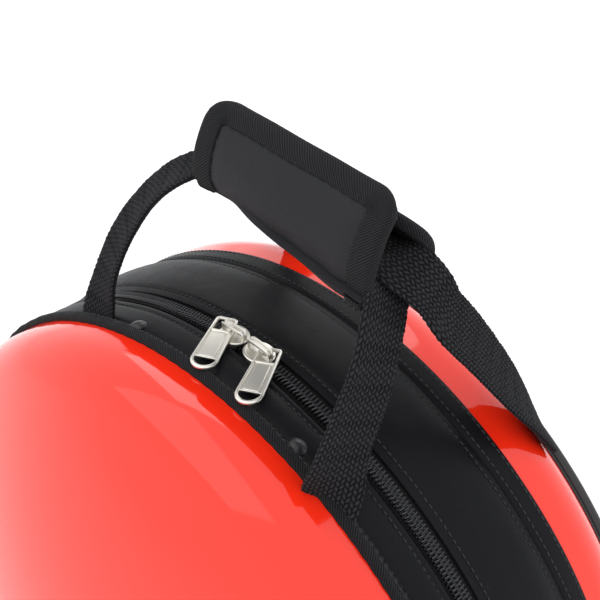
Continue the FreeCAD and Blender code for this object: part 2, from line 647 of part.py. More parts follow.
for tag, alias, leg in (("left", "slider_left_angle", -1), ("right", "slider_right_angle", 1)):
    ang = par(alias)
    here = surface_frame(ang, par("zip_centre_y"))
    sl = doc.addObject("Part::Feature", "slider_shape_" + tag)
    sl.Shape = slider_shape()
    sl.Placement = here
    node(sl, "zip_slider_" + tag)
    p = doc.addObject("Part::Feature", "pull_shape_" + tag)
    p.Shape = pull_shape()
    tilt = Rotation(Vector(1, 0, 0), 2.6)
    turn = Rotation(Vector(0, 0, 1), par("pull_skew"))
    local = Placement(Vector(leg * 5.5, 0, par("tape_outer_radius") + 4.9 + 0.7), turn.multiply(tilt))
    p.Placement = here.multiply(local)
    node(p, "zip_pull_" + tag)
    print("swing axis", tag, [round(v, 5) for v in here.Rotation.multVec(Vector(0, 0, 1))],
          "at", [round(v, 3) for v in here.multVec(Vector(leg * 5.5, 0, par("tape_outer_radius") + 5.8))])

# ---------------------------------------------------------------- write out
doc.recompute()
bad = []
for obj in doc.Objects:
    if any(word in ("Invalid", "Error") for word in obj.State):
        bad.append((obj.Name, obj.State))
for obj in NODES:
    if obj.Shape.isNull() or not obj.Shape.isValid() or not obj.Shape.Solids:
        bad.append((obj.Label, "shape"))
if bad:
    raise RuntimeError("failed objects: %s" % bad)
os.makedirs("parts", exist_ok=True)
for obj in NODES:
    b = obj.Shape.BoundBox
    print("%-22s solids %d vol %.1f  x %.1f %.1f  y %.1f %.1f  z %.1f %.1f" % (
        obj.Label, len(obj.Shape.Solids), obj.Shape.Volume, b.XMin, b.XMax, b.YMin, b.YMax, b.ZMin, b.ZMax))
    obj.Shape.exportStep("parts/%s.step" % obj.Label)
print("nodes", len(NODES))
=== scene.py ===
import bpy, bmesh, math
import numpy as np
from mathutils import Vector, Matrix


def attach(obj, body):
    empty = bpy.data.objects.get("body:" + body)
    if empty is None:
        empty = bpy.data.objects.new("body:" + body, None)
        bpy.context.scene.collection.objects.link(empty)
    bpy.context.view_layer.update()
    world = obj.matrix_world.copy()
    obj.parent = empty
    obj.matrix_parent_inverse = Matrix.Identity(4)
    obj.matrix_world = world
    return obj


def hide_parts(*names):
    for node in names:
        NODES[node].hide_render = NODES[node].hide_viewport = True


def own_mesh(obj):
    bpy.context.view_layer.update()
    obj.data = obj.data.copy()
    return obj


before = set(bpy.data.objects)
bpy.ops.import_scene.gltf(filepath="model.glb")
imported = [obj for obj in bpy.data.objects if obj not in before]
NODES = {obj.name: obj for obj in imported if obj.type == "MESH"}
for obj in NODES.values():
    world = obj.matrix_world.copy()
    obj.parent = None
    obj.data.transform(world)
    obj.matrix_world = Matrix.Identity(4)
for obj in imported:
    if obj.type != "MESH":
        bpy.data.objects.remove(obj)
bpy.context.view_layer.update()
rng = np.random.default_rng(7)

# ------------------------------------------------------------------ geometry
# Everything below is worked out in millimetres in the row frame and scaled by
# 0.001 when a mesh is made. "out" is a distance outside the bag's outline.
R0, RC, ZC, ZB = 178.0, 50.0, 144.0, 8.0
DROP = ZC - ZB - RC
XC = math.sqrt((R0 - RC) ** 2 - DROP ** 2)
TH = math.pi - math.atan2(XC, DROP)          # big arc ends this far from the top
L1, L2, L3 = R0 * TH, RC * (math.pi - TH), XC
HALF = L1 + L2 + L3
FRONT, REAR, ZIP = -42.1, 37.1, -16.1
ZIP_HALF = math.radians(117.0) * R0


def outline(s):
    """Points and outward normals of the outline at arc length s from the top, + towards +X."""
    s = np.asarray(s, float)
    g, a = np.sign(s), np.abs(s)
    g = np.where(g == 0, 1.0, g)
    t1 = np.minimum(a, L1) / R0
    x1, z1, n1x, n1z = R0 * np.sin(t1), ZC + R0 * np.cos(t1), np.sin(t1), np.cos(t1)
    t2 = TH + np.clip(a - L1, 0, L2) / RC
    x2, z2, n2x, n2z = XC + RC * np.sin(t2), ZB + RC + RC * np.cos(t2), np.sin(t2), np.cos(t2)
    x3 = XC - np.clip(a - L1 - L2, 0, L3)
    in1, in2 = a <= L1, (a > L1) & (a <= L1 + L2)
    x = np.where(in1, x1, np.where(in2, x2, x3))
    z = np.where(in1, z1, np.where(in2, z2, ZB))
    nx = np.where(in1, n1x, np.where(in2, n2x, 0.0))
    nz = np.where(in1, n1z, np.where(in2, n2z, -1.0))
    return np.stack([g * x, z], -1), np.stack([g * nx, nz], -1)


def grid(name, P, U=None, V=None, closeu=False, closev=False, caps=False, sharp=40.0, flip=False):
    """A mesh from an nu x nv x 3 array in mm, with UVs in mm."""
    nu, nv = P.shape[:2]
    iu, iv = (nu if closeu else nu - 1), (nv if closev else nv - 1)
    I, J = np.meshgrid(np.arange(iu), np.arange(iv), indexing="ij")
    I2, J2 = (I + 1) % nu, (J + 1) % nv
    quad = np.stack([I * nv + J, I2 * nv + J, I2 * nv + J2, I * nv + J2], -1).reshape(-1, 4)
    U = np.arange(iu + 1, dtype=float) if U is None else np.asarray(U, float)
    V = np.arange(iv + 1, dtype=float) if V is None else np.asarray(V, float)
    if len(U) < iu + 1:
        U = np.append(U, 2 * U[-1] - U[-2])
    if len(V) < iv + 1:
        V = np.append(V, 2 * V[-1] - V[-2])
    uv = np.stack([np.stack([U[I], V[J]], -1), np.stack([U[I + 1], V[J]], -1),
                   np.stack([U[I + 1], V[J + 1]], -1), np.stack([U[I], V[J + 1]], -1)], 2).reshape(-1, 4, 2)
    if flip:
        quad, uv = quad[:, ::-1], uv[:, ::-1]
    faces = quad.tolist()
    loops = uv.reshape(-1, 2)
    if caps:
        first, last = list(range(nv)), [(nu - 1) * nv + j for j in range(nv)]
        ends = [first[::-1], last] if flip else [first, last[::-1]]
        faces += [ends[0], ends[1]]
        p = np.cumsum(np.linalg.norm(np.diff(P[0], axis=0, prepend=P[0][:1]), axis=1))
        e = np.stack([p, P[0][:, 2]], -1)
        loops = np.concatenate([loops, e, e])
    me = bpy.data.meshes.new(name)
    me.from_pydata((P.reshape(-1, 3) * 0.001).tolist(), [], faces)
    layer = me.uv_layers.new(name="mm")
    layer.data.foreach_set("uv", loops.astype(np.float32).ravel())
    me.update()
    me.polygons.foreach_set("use_smooth", [True] * len(me.polygons))
    me.set_sharp_from_angle(angle=math.radians(sharp))
    ob = bpy.data.objects.new(name, me)
    bpy.context.scene.collection.objects.link(ob)
    return ob


def join(name, obs):
    """Joins meshes of one piece into one object."""
    bm = bmesh.new()
    mats = []
    for o in obs:
        n0 = len(bm.faces)
        bm.from_mesh(o.data)
        bm.faces.ensure_lookup_table()
        for m in o.data.materials:
            if m not in mats:
                mats.append(m)
        if o.data.materials:
            for f in bm.faces[n0:]:
                f.material_index = mats.index(o.data.materials[min(f.material_index, len(o.data.materials) - 1)])
    me = bpy.data.meshes.new(name)
    bm.to_mesh(me)
    bm.free()
    for m in mats:
        me.materials.append(m)
    for o in obs:
        old = o.data
        bpy.data.objects.remove(o)
        bpy.data.meshes.remove(old)
    ob = bpy.data.objects.new(name, me)
    bpy.context.scene.collection.objects.link(ob)
    return ob


def arclen(P):
    return np.concatenate([[0.0], np.cumsum(np.linalg.norm(np.diff(P, axis=0), axis=1))])


def smoothstep(x, a=0.0, b=1.0):
    t = np.clip((x - a) / (b - a), 0, 1)
    return t * t * (3 - 2 * t)


def catmull(pts, n, closed=False):
    """n points along a smooth curve through pts, evenly spaced."""
    pts = np.asarray(pts, float)
    m = len(pts)
    if closed:
        ext = np.concatenate([pts[-1:], pts, pts[:2]])
        segs = m
    else:
        ext = np.concatenate([2 * pts[:1] - pts[1:2], pts, 2 * pts[-1:] - pts[-2:-1]])
        segs = m - 1
    out = []
    for i in range(segs):
        p0, p1, p2, p3 = ext[i:i + 4]
        t = np.linspace(0, 1, 24, endpoint=False)[:, None]
        out.append(0.5 * ((2 * p1) + (p2 - p0) * t + (2 * p0 - 5 * p1 + 4 * p2 - p3) * t ** 2 + (3 * p1 - p0 - 3 * p2 + p3) * t ** 3))
    out.append(pts[:1] if closed else pts[-1:])
    c = np.concatenate(out)
    L = arclen(c)
    q = np.linspace(0, L[-1], n + 1 if closed else n)
    r = np.stack([np.interp(q, L, c[:, k]) for k in range(c.shape[1])], -1)
    return r[:-1] if closed else r


def sweep(name, prof, s, closed_prof=True, closed_path=False, caps=True, bump=None, sharp=40.0):
    """prof is (y, out) in mm. bump(s, y, out) gives extra (dy, dout)."""
    prof = np.asarray(prof, float)
    p, n = outline((np.asarray(s, float) + HALF) % (2 * HALF) - HALF)
    Y = np.broadcast_to(prof[:, 0], (len(s), len(prof))).copy()
    D = np.broadcast_to(prof[:, 1], (len(s), len(prof))).copy()
    if bump is not None:
        dy, dd = bump(np.asarray(s)[:, None], Y, D)
        Y, D = Y + dy, D + dd
    P = np.stack([p[:, None, 0] + n[:, None, 0] * D, Y, p[:, None, 1] + n[:, None, 1] * D], -1)
    V = arclen(np.concatenate([prof, prof[:1]]) if closed_prof else prof)
    U = np.append(s, 2 * HALF + s[0]) if closed_path else s
    area = np.sum(prof[:, 0] * np.roll(prof[:, 1], -1) - np.roll(prof[:, 0], -1) * prof[:, 1])
    return grid(name, P, U, V, closeu=closed_path, closev=closed_prof, caps=caps and not closed_path and closed_prof,
                sharp=sharp, flip=area > 0)


def full_path(n):
    return np.linspace(-HALF, HALF, n, endpoint=False)


def rounded(y0, y1, d0, d1, r, k=5):
    """Rounded rectangle profile from y0..y1 and d0..d1."""
    c = []
    for cy, cd, a in ((y1 - r, d1 - r, 0), (y0 + r, d1 - r, 90), (y0 + r, d0 + r, 180), (y1 - r, d0 + r, 270)):
        for i in range(k + 1):
            t = math.radians(a + 90 * i / k)
            c.append((cy + r * math.cos(t), cd + r * math.sin(t)))
    return np.array(c)


# ------------------------------------------------------------------ shader kit
class Kit:
    def __init__(self, name):
        self.mat = bpy.data.materials.new(name)
        self.mat.use_nodes = True
        self.t = self.mat.node_tree
        self.t.nodes.clear()
        self.out = self.t.nodes.new("ShaderNodeOutputMaterial")
        self.b = self.t.nodes.new("ShaderNodeBsdfPrincipled")
        self.t.links.new(self.b.outputs[0], self.out.inputs[0])

    def link(self, v, sock):
        if isinstance(v, bpy.types.NodeSocket):
            self.t.links.new(v, sock)
        else:
            sock.default_value = v

    def m(self, op, *a):
        n = self.t.nodes.new("ShaderNodeMath")
        n.operation = op
        for i, v in enumerate(a):
            self.link(v, n.inputs[i])
        return n.outputs[0]

    def uv(self):
        n = self.t.nodes.new("ShaderNodeUVMap")
        n.uv_map = "mm"
        s = self.t.nodes.new("ShaderNodeSeparateXYZ")
        self.t.links.new(n.outputs[0], s.inputs[0])
        return s.outputs[0], s.outputs[1], n.outputs[0]

    def obj(self):
        n = self.t.nodes.new("ShaderNodeTexCoord")
        return n.outputs["Object"]

    def sep(self, v):
        s = self.t.nodes.new("ShaderNodeSeparateXYZ")
        self.t.links.new(v, s.inputs[0])
        return s.outputs

    def comb(self, x, y, z=0.0):
        s = self.t.nodes.new("ShaderNodeCombineXYZ")
        for i, v in enumerate((x, y, z)):
            self.link(v, s.inputs[i])
        return s.outputs[0]

    def noise(self, vec, scale, detail=3.0, rough=0.5, dist=0.0):
        n = self.t.nodes.new("ShaderNodeTexNoise")
        self.t.links.new(vec, n.inputs["Vector"])
        n.inputs["Scale"].default_value = scale
        n.inputs["Detail"].default_value = detail
        n.inputs["Roughness"].default_value = rough
        n.inputs["Distortion"].default_value = dist
        return n.outputs["Fac"]

    def voronoi(self, vec, scale, feature="F1"):
        n = self.t.nodes.new("ShaderNodeTexVoronoi")
        n.feature = feature
        self.t.links.new(vec, n.inputs["Vector"])
        n.inputs["Scale"].default_value = scale
        return n.outputs["Distance"]

    def ramp(self, fac, stops):
        n = self.t.nodes.new("ShaderNodeValToRGB")
        self.t.links.new(fac, n.inputs[0])
        e = n.color_ramp.elements
        e[0].position, e[0].color = stops[0][0], (*stops[0][1], 1)
        e[1].position, e[1].color = stops[-1][0], (*stops[-1][1], 1)
        for p, c in stops[1:-1]:
            x = e.new(p)
            x.color = (*c, 1)
        return n.outputs[0]

    def mix(self, fac, a, b):
        n = self.t.nodes.new("ShaderNodeMix")
        n.data_type = "RGBA"
        self.link(fac, n.inputs[0])
        for v, i in ((a, 6), (b, 7)):
            if isinstance(v, bpy.types.NodeSocket):
                self.t.links.new(v, n.inputs[i])
            else:
                n.inputs[i].default_value = (*v, 1)
        return n.outputs[2]

    def bump(self, h, dist, strength=1.0, normal=None):
        n = self.t.nodes.new("ShaderNodeBump")
        self.link(h, n.inputs["Height"])
        n.inputs["Distance"].default_value = dist
        n.inputs["Strength"].default_value = strength
        if normal is not None:
            self.t.links.new(normal, n.inputs["Normal"])
        return n.outputs[0]

    def set(self, **kw):
        names = dict(color="Base Color", rough="Roughness", metal="Metallic", ior="IOR", coat="Coat Weight",
                     coat_rough="Coat Roughness", sheen="Sheen Weight", sheen_rough="Sheen Roughness",
                     spec="Specular IOR Level", normal="Normal", alpha="Alpha", trans="Transmission Weight",
                     sss="Subsurface Weight", coat_normal="Coat Normal")
        for k, v in kw.items():
            sock = self.b.inputs[names[k]]
            if k == "color" and not isinstance(v, bpy.types.NodeSocket):
                v = (*v, 1)
            self.link(v, sock)
        return self


def mm(k, vec):
    """Object coordinates in mm."""
    n = k.t.nodes.new("ShaderNodeVectorMath")
    n.operation = "SCALE"
    k.t.links.new(vec, n.inputs[0])
    n.inputs["Scale"].default_value = 1000.0
    return n.outputs[0]


def mat_red():
    k = Kit("red_shell")
    o = mm(k, k.obj())
    big = k.noise(o, 0.012, 2, 0.5)
    fine = k.noise(o, 0.9, 3, 0.6)
    speck = k.m("GREATER_THAN", k.m("SUBTRACT", 0.022, k.voronoi(o, 0.055)), 0.0)
    col = k.mix(k.m("MULTIPLY", big, 0.35), (0.94, 0.026, 0.007), (0.88, 0.021, 0.006))
    col = k.mix(k.m("MULTIPLY", speck, 0.5), col, (0.9, 0.5, 0.45))
    # hairline scratches: noise stretched along one direction
    n = k.t.nodes.new("ShaderNodeMapping")
    n.inputs["Rotation"].default_value = (0.4, 0.9, 0.3)
    n.inputs["Scale"].default_value = (0.02, 1.6, 1.6)
    k.t.links.new(o, n.inputs[0])
    scr = k.m("GREATER_THAN", k.noise(n.outputs[0], 1.0, 2, 0.5), 0.735)
    rough = k.m("ADD", k.m("ADD", 0.055, k.m("MULTIPLY", k.noise(o, 0.05, 3, 0.6), 0.05)), k.m("MULTIPLY", scr, 0.10))
    h = k.m("ADD", k.m("MULTIPLY", k.noise(o, 0.02, 1, 0.5), 0.6), k.m("MULTIPLY", fine, 0.004))
    k.set(color=col, rough=rough, ior=1.5, normal=k.bump(h, 0.0006, 0.35))
    k.b.inputs["Coat Weight"].default_value = 0.3
    k.b.inputs["Coat Roughness"].default_value = 0.03
    k.b.inputs["Coat IOR"].default_value = 1.5
    return k.mat


def mat_vinyl(name="black_vinyl", base=(0.005, 0.005, 0.0058), r0=0.34, r1=0.16, grain=1.0, uv=False):
    k = Kit(name)
    o = mm(k, k.obj())
    g1 = k.voronoi(o, 1.15, "SMOOTH_F1")
    g2 = k.noise(o, 2.6, 3, 0.65)
    crease = k.noise(o, 0.045, 4, 0.6, 0.6)
    big = k.noise(o, 0.02, 2, 0.5)
    h = k.m("ADD", k.m("MULTIPLY", g1, 0.55), k.m("MULTIPLY", g2, 0.6))
    col = k.mix(big, base, tuple(1.7 * c for c in base))
    col = k.mix(k.m("MULTIPLY", k.m("GREATER_THAN", k.noise(o, 0.7, 2, 0.5), 0.74), 0.35), col, (0.05, 0.05, 0.052))
    rough = k.m("ADD", r0, k.m("MULTIPLY", k.noise(o, 0.16, 4, 0.6), r1))
    nrm = k.bump(crease, 0.0011, 0.35)
    nrm = k.bump(h, 0.00011 * grain, 0.55, nrm)
    k.set(color=col, rough=rough, ior=1.5, spec=0.1, normal=nrm)
    k.b.inputs["Sheen Weight"].default_value = 0.0
    k.b.inputs["Sheen Roughness"].default_value = 0.4
    return k.mat


def mat_twill(name="twill_tape", pitch=1.3, base=(0.004, 0.004, 0.0045), lift=(0.03, 0.03, 0.0335), slope=1.0):
    """Diagonal ribs of a twill tape, from UVs in mm."""
    k = Kit(name)
    u, v, uvv = k.uv()
    wob = k.m("MULTIPLY", k.noise(uvv, 0.35, 2, 0.5), 0.35)
    d = k.m("ADD", k.m("ADD", u, k.m("MULTIPLY", v, slope)), wob)
    rib = k.m("ABSOLUTE", k.m("SINE", k.m("MULTIPLY", d, math.pi / pitch)))
    cross = k.m("SINE", k.m("MULTIPLY", k.m("SUBTRACT", u, v), 2 * math.pi / (pitch * 0.62)))
    h = k.m("ADD", rib, k.m("MULTIPLY", cross, 0.16))
    fuzz = k.noise(uvv, 7.0, 2, 0.6)
    h2 = k.m("ADD", h, k.m("MULTIPLY", fuzz, 0.25))
    # painted light: the colour follows the rib height, lighter on the rib crests and darker in the grooves, a painted
    # highlight and painted shade
    shade = k.m("MULTIPLY", k.m("POWER", k.m("MAXIMUM", h, 0.0), 1.6), k.m("ADD", 0.35, k.m("MULTIPLY", fuzz, 0.9)))
    col = k.mix(k.m("MINIMUM", shade, 1.0), base, lift)
    k.set(color=col, rough=0.78, spec=0.12, normal=k.bump(h2, 0.0005, 1.0))
    k.b.inputs["Sheen Weight"].default_value = 0.03
    k.b.inputs["Sheen Roughness"].default_value = 0.5
    return k.mat


def mat_webbing(name="webbing", pu=2.35, pv=1.75, base=(0.003, 0.003, 0.0035), lift=(0.06, 0.06, 0.067)):
    """Coarse webbing: rows of fat yarns slanted one way and then the other, from UVs in mm."""
    k = Kit(name)
    u, v, uvv = k.uv()
    fuzz = k.noise(uvv, 3.2, 3, 0.7)
    row = k.m("FLOOR", k.m("DIVIDE", v, pv))
    odd = k.m("MODULO", k.m("ABSOLUTE", row), 2.0)
    c = k.m("SUBTRACT", k.m("SUBTRACT", k.m("DIVIDE", v, pv), row), 0.5)
    lean = k.m("SUBTRACT", k.m("MULTIPLY", odd, 1.1), 0.55)
    x = k.m("ADD", k.m("ADD", k.m("DIVIDE", u, pu), k.m("MULTIPLY", odd, 0.5)), k.m("MULTIPLY", lean, c))
    a = k.m("ABSOLUTE", k.m("SINE", k.m("MULTIPLY", x, math.pi)))
    cc = k.m("MAXIMUM", k.m("COSINE", k.m("MULTIPLY", c, math.pi)), 0.001)
    h = k.m("MULTIPLY", k.m("POWER", a, 0.6), k.m("POWER", cc, 0.5))
    ply = k.m("SINE", k.m("MULTIPLY", k.m("ADD", u, k.m("MULTIPLY", v, 0.8)), 2 * math.pi / 0.55))
    h3 = k.m("ADD", k.m("ADD", h, k.m("MULTIPLY", ply, 0.08)), k.m("MULTIPLY", fuzz, 0.45))
    # painted light: the colour follows the yarn height h, lighter on the yarn crowns and darker between the yarns, a
    # painted highlight and painted shade
    col = k.mix(k.m("MINIMUM", k.m("MULTIPLY", k.m("POWER", h, 2.0), k.m("ADD", 0.1, k.m("MULTIPLY", fuzz, 1.0))), 1.0), base, lift)
    k.set(color=col, rough=0.9, spec=0.12, normal=k.bump(h3, 0.0005, 0.9))
    k.b.inputs["Sheen Weight"].default_value = 0.02
    k.b.inputs["Sheen Roughness"].default_value = 0.5
    return k.mat


def mat_weave(name, pitch, base, lift, rough=0.8, depth=0.0002):
    """Fine plain weave, from object coordinates where there are no UVs."""
    k = Kit(name)
    o = mm(k, k.obj())
    x, y, z = k.sep(o)
    q = math.pi / pitch
    sx, sy, sz = (k.m("ABSOLUTE", k.m("SINE", k.m("MULTIPLY", w, q))) for w in (x, y, z))
    h = k.m("MULTIPLY", k.m("MULTIPLY", k.m("ADD", 0.35, sx), k.m("ADD", 0.35, sy)), k.m("ADD", 0.35, sz))
    fuzz = k.noise(o, 2.0, 3, 0.6)
    # painted light: the colour follows the weave height h, lighter where the threads cross and darker in the hollows, a
    # painted highlight and painted shade
    col = k.mix(k.m("MINIMUM", k.m("MULTIPLY", h, k.m("ADD", 0.3, fuzz)), 1.0), base, lift)
    k.set(color=col, rough=rough, normal=k.bump(k.m("ADD", h, k.m("MULTIPLY", fuzz, 0.4)), depth, 0.8))
    k.b.inputs["Sheen Weight"].default_value = 0.2
    return k.mat


def mat_nickel(name="nickel", base=(0.84, 0.81, 0.74), r=0.29):
    k = Kit(name)
    o = mm(k, k.obj())
    n1 = k.noise(o, 0.8, 4, 0.6)
    n2 = k.noise(o, 6.0, 2, 0.5)
    col = k.mix(n1, base, tuple(c * 0.86 for c in base))
    rough = k.m("ADD", r, k.m("MULTIPLY", n1, 0.08))
    h = k.m("ADD", k.m("MULTIPLY", n1, 0.6), k.m("MULTIPLY", n2, 0.05))
    k.set(color=col, rough=rough, metal=1.0, normal=k.bump(h, 0.00001, 0.12))
    return k.mat


def mat_plastic(name, base, r=0.4, grain=0.00008, scale=3.0):
    k = Kit(name)
    o = mm(k, k.obj())
    n1 = k.noise(o, scale, 3, 0.6)
    n2 = k.noise(o, 0.15, 3, 0.6)
    col = k.mix(n2, base, tuple(min(1.0, c * 1.5 + 0.002) for c in base))
    k.set(color=col, rough=k.m("ADD", r, k.m("MULTIPLY", n2, 0.15)), ior=1.5, normal=k.bump(n1, grain, 0.6))
    return k.mat


def mat_foam(name="foam", base=(0.035, 0.035, 0.04)):
    k = Kit(name)
    o = mm(k, k.obj())
    v = k.voronoi(o, 0.9)
    n = k.noise(o, 1.6, 4, 0.7)
    # painted shade: the colour follows the Voronoi distance that also shapes the bump, darker in the cell pits and
    # lighter on the ridges
    col = k.mix(v, tuple(c * 0.5 for c in base), tuple(c * 1.5 for c in base))
    k.set(color=col, rough=0.92, normal=k.bump(k.m("ADD", v, k.m("MULTIPLY", n, 0.6)), 0.0005, 0.8))
    return k.mat


MAT = dict(red=mat_red(), vinyl=mat_vinyl(), twill=mat_twill(), web=mat_webbing(), nickel=mat_nickel(),
           wrap=mat_vinyl("wrap_vinyl", (0.017, 0.017, 0.0188), 0.42, 0.18, 3.4),
           coil=mat_plastic("zip_coil", (0.010, 0.010, 0.012), 0.33),
           tape=mat_twill("zip_tape", 0.8, (0.007, 0.007, 0.008), (0.022, 0.022, 0.024)),
           lining=mat_weave("lining", 0.55, (0.012, 0.012, 0.013), (0.045, 0.045, 0.048)),
           base=mat_weave("base_fabric", 1.1, (0.009, 0.009, 0.010), (0.035, 0.035, 0.038), 0.75, 0.0003),
           piping=mat_plastic("piping", (0.010, 0.010, 0.011), 0.35, 0.00006, 2.0),
           board=mat_plastic("board", (0.06, 0.06, 0.062), 0.6, 0.0002, 1.0),
           foot=mat_plastic("foot_plastic", (0.012, 0.012, 0.012), 0.5, 0.00015, 4.0),
           rivet=mat_plastic("black_metal", (0.008, 0.008, 0.009), 0.26, 0.00005, 3.0),
           foam=mat_foam(), pile=mat_foam("hook_loop", (0.02, 0.02, 0.021)), thread=mat_plastic("thread", (0.012, 0.012, 0.013), 0.6, 0.0001, 6.0))


def paint(ob, key):
    ob.data.materials.clear()
    ob.data.materials.append(MAT[key])
    return ob


def done(ob, key, body, slot, *replaced):
    if key:
        paint(ob, key)
    if body:
        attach(ob, body)
    if replaced:
        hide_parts(*replaced)
    return ob


# ------------------------------------------------------------------ shells
def dome_profile(rho, wall, n_side=6, n_fil=22, n_cap=46, t0=0.0):
    """(r, depth) from the rim to the crown for outline radius rho, inset by wall."""
    rr, fr, sr, off = rho - wall, 27.0 - wall, 329.0 - wall, 254.5
    c = -off + np.sqrt((sr - fr) ** 2 - (rr - fr) ** 2)
    k = sr / (sr - fr)
    ra, da = (rr - fr) * k, -off + (c + off) * k
    a1 = np.arctan2(da - c, ra - (rr - fr))
    out = [(rr, t0 + (c - t0) * i / n_side) for i in range(n_side)]
    out += [(rr - fr + fr * math.cos(a1 * i / n_fil), c + fr * math.sin(a1 * i / n_fil)) for i in range(n_fil)]
    a0 = math.atan2(ra, da + off)
    for i in range(n_cap):
        a = a0 * (1 - i / (n_cap - 1)) if i < n_cap - 1 else 0.0006
        out.append((sr * math.sin(a), -off + sr * math.cos(a)))
    return np.array(out)


def polar_outline(phi, inset):
    """Distance from the centre (0, ZC) to the inset outline in direction phi from the top."""
    s = np.linspace(-HALF, HALF, 4001)
    p, n = outline(s)
    q = p - n * inset
    ang = np.arctan2(q[:, 0], q[:, 1] - ZC)
    r = np.hypot(q[:, 0], q[:, 1] - ZC)
    o = np.argsort(ang)
    return np.interp(phi, ang[o], r[o], period=2 * math.pi)


def dome(name, side, inner=True, wall=3.0, base_inset=0.0, n=420, rim0=0.0):
    phi = np.linspace(-math.pi, math.pi, n, endpoint=False)
    rho = polar_outline(phi, base_inset)
    sgn, rim = (-1.0, FRONT) if side == "front" else (1.0, REAR)
    rows = []
    for r in rho:
        a = dome_profile(r + base_inset, base_inset, t0=rim0)
        if inner:
            b = dome_profile(r + base_inset, base_inset + wall, t0=rim0)
            a = np.concatenate([b[::-1], a])
        rows.append(a)
    A = np.array(rows)
    P = np.stack([A[..., 0] * np.sin(phi)[:, None], rim + sgn * A[..., 1], ZC + A[..., 0] * np.cos(phi)[:, None]], -1)
    V = arclen(A[0])
    return grid(name, P, phi * 178.0, V, closeu=True, sharp=50, flip=(side == "rear"))


front = done(dome("front_dome", "front"), "red", "lid", "red_shell", "front_shell")
rear = done(dome("rear_dome", "rear"), "red", "case", "red_shell", "rear_shell")

# ------------------------------------------------------------------ simple CAD nodes: materials
for node, key in dict(base_board="board", base_feet="foot", foot_screws="nickel", foot_nuts="nickel", zip_end_stops="nickel",
                      rivet_burrs="nickel", strip_rivets="rivet").items():
    paint(NODES[node], key)
for side, body in (("front", "lid"), ("rear", "case")):
    done(dome(side + "_lining", side, wall=1.3, base_inset=3.3, n=300, rim0=-0.5), "lining", body, "lining", side + "_shell_lining")


def ball_cup():
    """A foam block with rounded edges and a dish pressed into its top."""
    phi = np.linspace(-math.pi, math.pi, 240, endpoint=False)
    c, q = np.abs(np.cos(phi) / 72.0), np.abs(np.sin(phi) / 46.5)
    rim = (c ** 9 + q ** 9) ** (-1 / 9)
    f = np.concatenate([np.linspace(0.004, 0.94, 44), np.linspace(0.95, 1.0, 9)])
    x, y = (rim[:, None] * f) * np.cos(phi)[:, None], (rim[:, None] * f) * np.sin(phi)[:, None] - 2.5
    zs = 132.1 - np.sqrt(np.maximum(109.5 ** 2 - x ** 2 - (y + 2.5) ** 2, 1.0))
    top = -0.8 * np.log(np.exp(-(zs - 40.4) / 0.8) + 1.0) + 40.4
    top = top - 1.8 * (1 - np.sqrt(np.maximum(1 - ((np.clip(f, 0.95, 1) - 0.95) / 0.05) ** 2, 0))) + 0.12 * np.sin(x * 0.35) * np.sin(y * 0.3)
    A = np.stack([x, y, top], -1)
    e = A[:, -1:]
    z0 = 15.4
    side = np.concatenate([e * [1, 1, 0] + [0, 0, 1] * ((1 - t) * (e[..., 2:] - 1.0) + t * (z0 + 1.0)) for t in np.linspace(0, 1, 8)], 1)
    bot = np.stack([x[:, ::-1] * 0.995, y[:, ::-1] * 0.995, np.full_like(x, z0)], -1)
    ob = grid("cup_foam", np.concatenate([A, side, bot], 1), None, None, closeu=True, sharp=60)
    bm = bmesh.new()
    bm.from_mesh(ob.data)
    bmesh.ops.recalc_face_normals(bm, faces=bm.faces)
    bm.to_mesh(ob.data)
    bm.free()
    return ob


done(ball_cup(), "foam", "case", "foam", "ball_cup")

# ------------------------------------------------------------------ binding, strips, panels
N_RING = 720
ring = full_path(N_RING)


def stitch_groove(y, y0, w=0.9, d=0.5):
    return -d * np.exp(-((y - y0) / w) ** 2)


def stitches(rows):
    """Rows of sewing thread: (y, out, s0, s1) each, short capsules along the outline."""
    V, F, n0 = [], [], 0
    a = np.array([-1.0, -0.86, -0.4, 0.4, 0.86, 1.0])
    rad = np.array([0.05, 0.62, 1.0, 1.0, 0.62, 0.05])
    m = 6
    ang = np.arange(m) * 2 * math.pi / m
    I, J = np.meshgrid(np.arange(5), np.arange(m), indexing="ij")
    quad = np.stack([I * m + J, (I + 1) * m + J, (I + 1) * m + (J + 1) % m, I * m + (J + 1) % m], -1).reshape(-1, 4)
    for y, out, s0, s1 in rows:
        k = int((s1 - s0) / 3.1)
        mid = s0 + (np.arange(k) + 0.5) * (s1 - s0) / k
        ss = mid[:, None] + a[None] * 1.12
        p, n = outline((ss + HALF) % (2 * HALF) - HALF)
        o = out + 0.34 * rad[None, :, None] * np.cos(ang) - 0.16 * (a[None, :, None] ** 2)
        yy = y + 0.34 * rad[None, :, None] * np.sin(ang) + 0.05 * np.sin(mid * 1.7)[:, None, None]
        o, yy = np.broadcast_arrays(o, yy)
        P = np.stack([p[..., 0][..., None] + n[..., 0][..., None] * o, yy, p[..., 1][..., None] + n[..., 1][..., None] * o], -1)
        V.append(P.reshape(-1, 3))
        F.append((quad[None] + n0 + (np.arange(k) * 6 * m)[:, None, None]).reshape(-1, 4))
        n0 += k * 6 * m
    me = bpy.data.meshes.new("thread")
    me.from_pydata((np.concatenate(V) * 0.001).tolist(), [], np.concatenate(F).tolist())
    me.uv_layers.new(name="mm")
    me.polygons.foreach_set("use_smooth", [True] * len(me.polygons))
    ob = bpy.data.objects.new("thread", me)
    bpy.context.scene.collection.objects.link(ob)
    return paint(ob, "thread")


def sewn(ob, key, rows, body, slot, *nodes):
    name = ob.name
    return done(join(name, [paint(ob, key), stitches(rows)]), None, body, slot, *nodes)


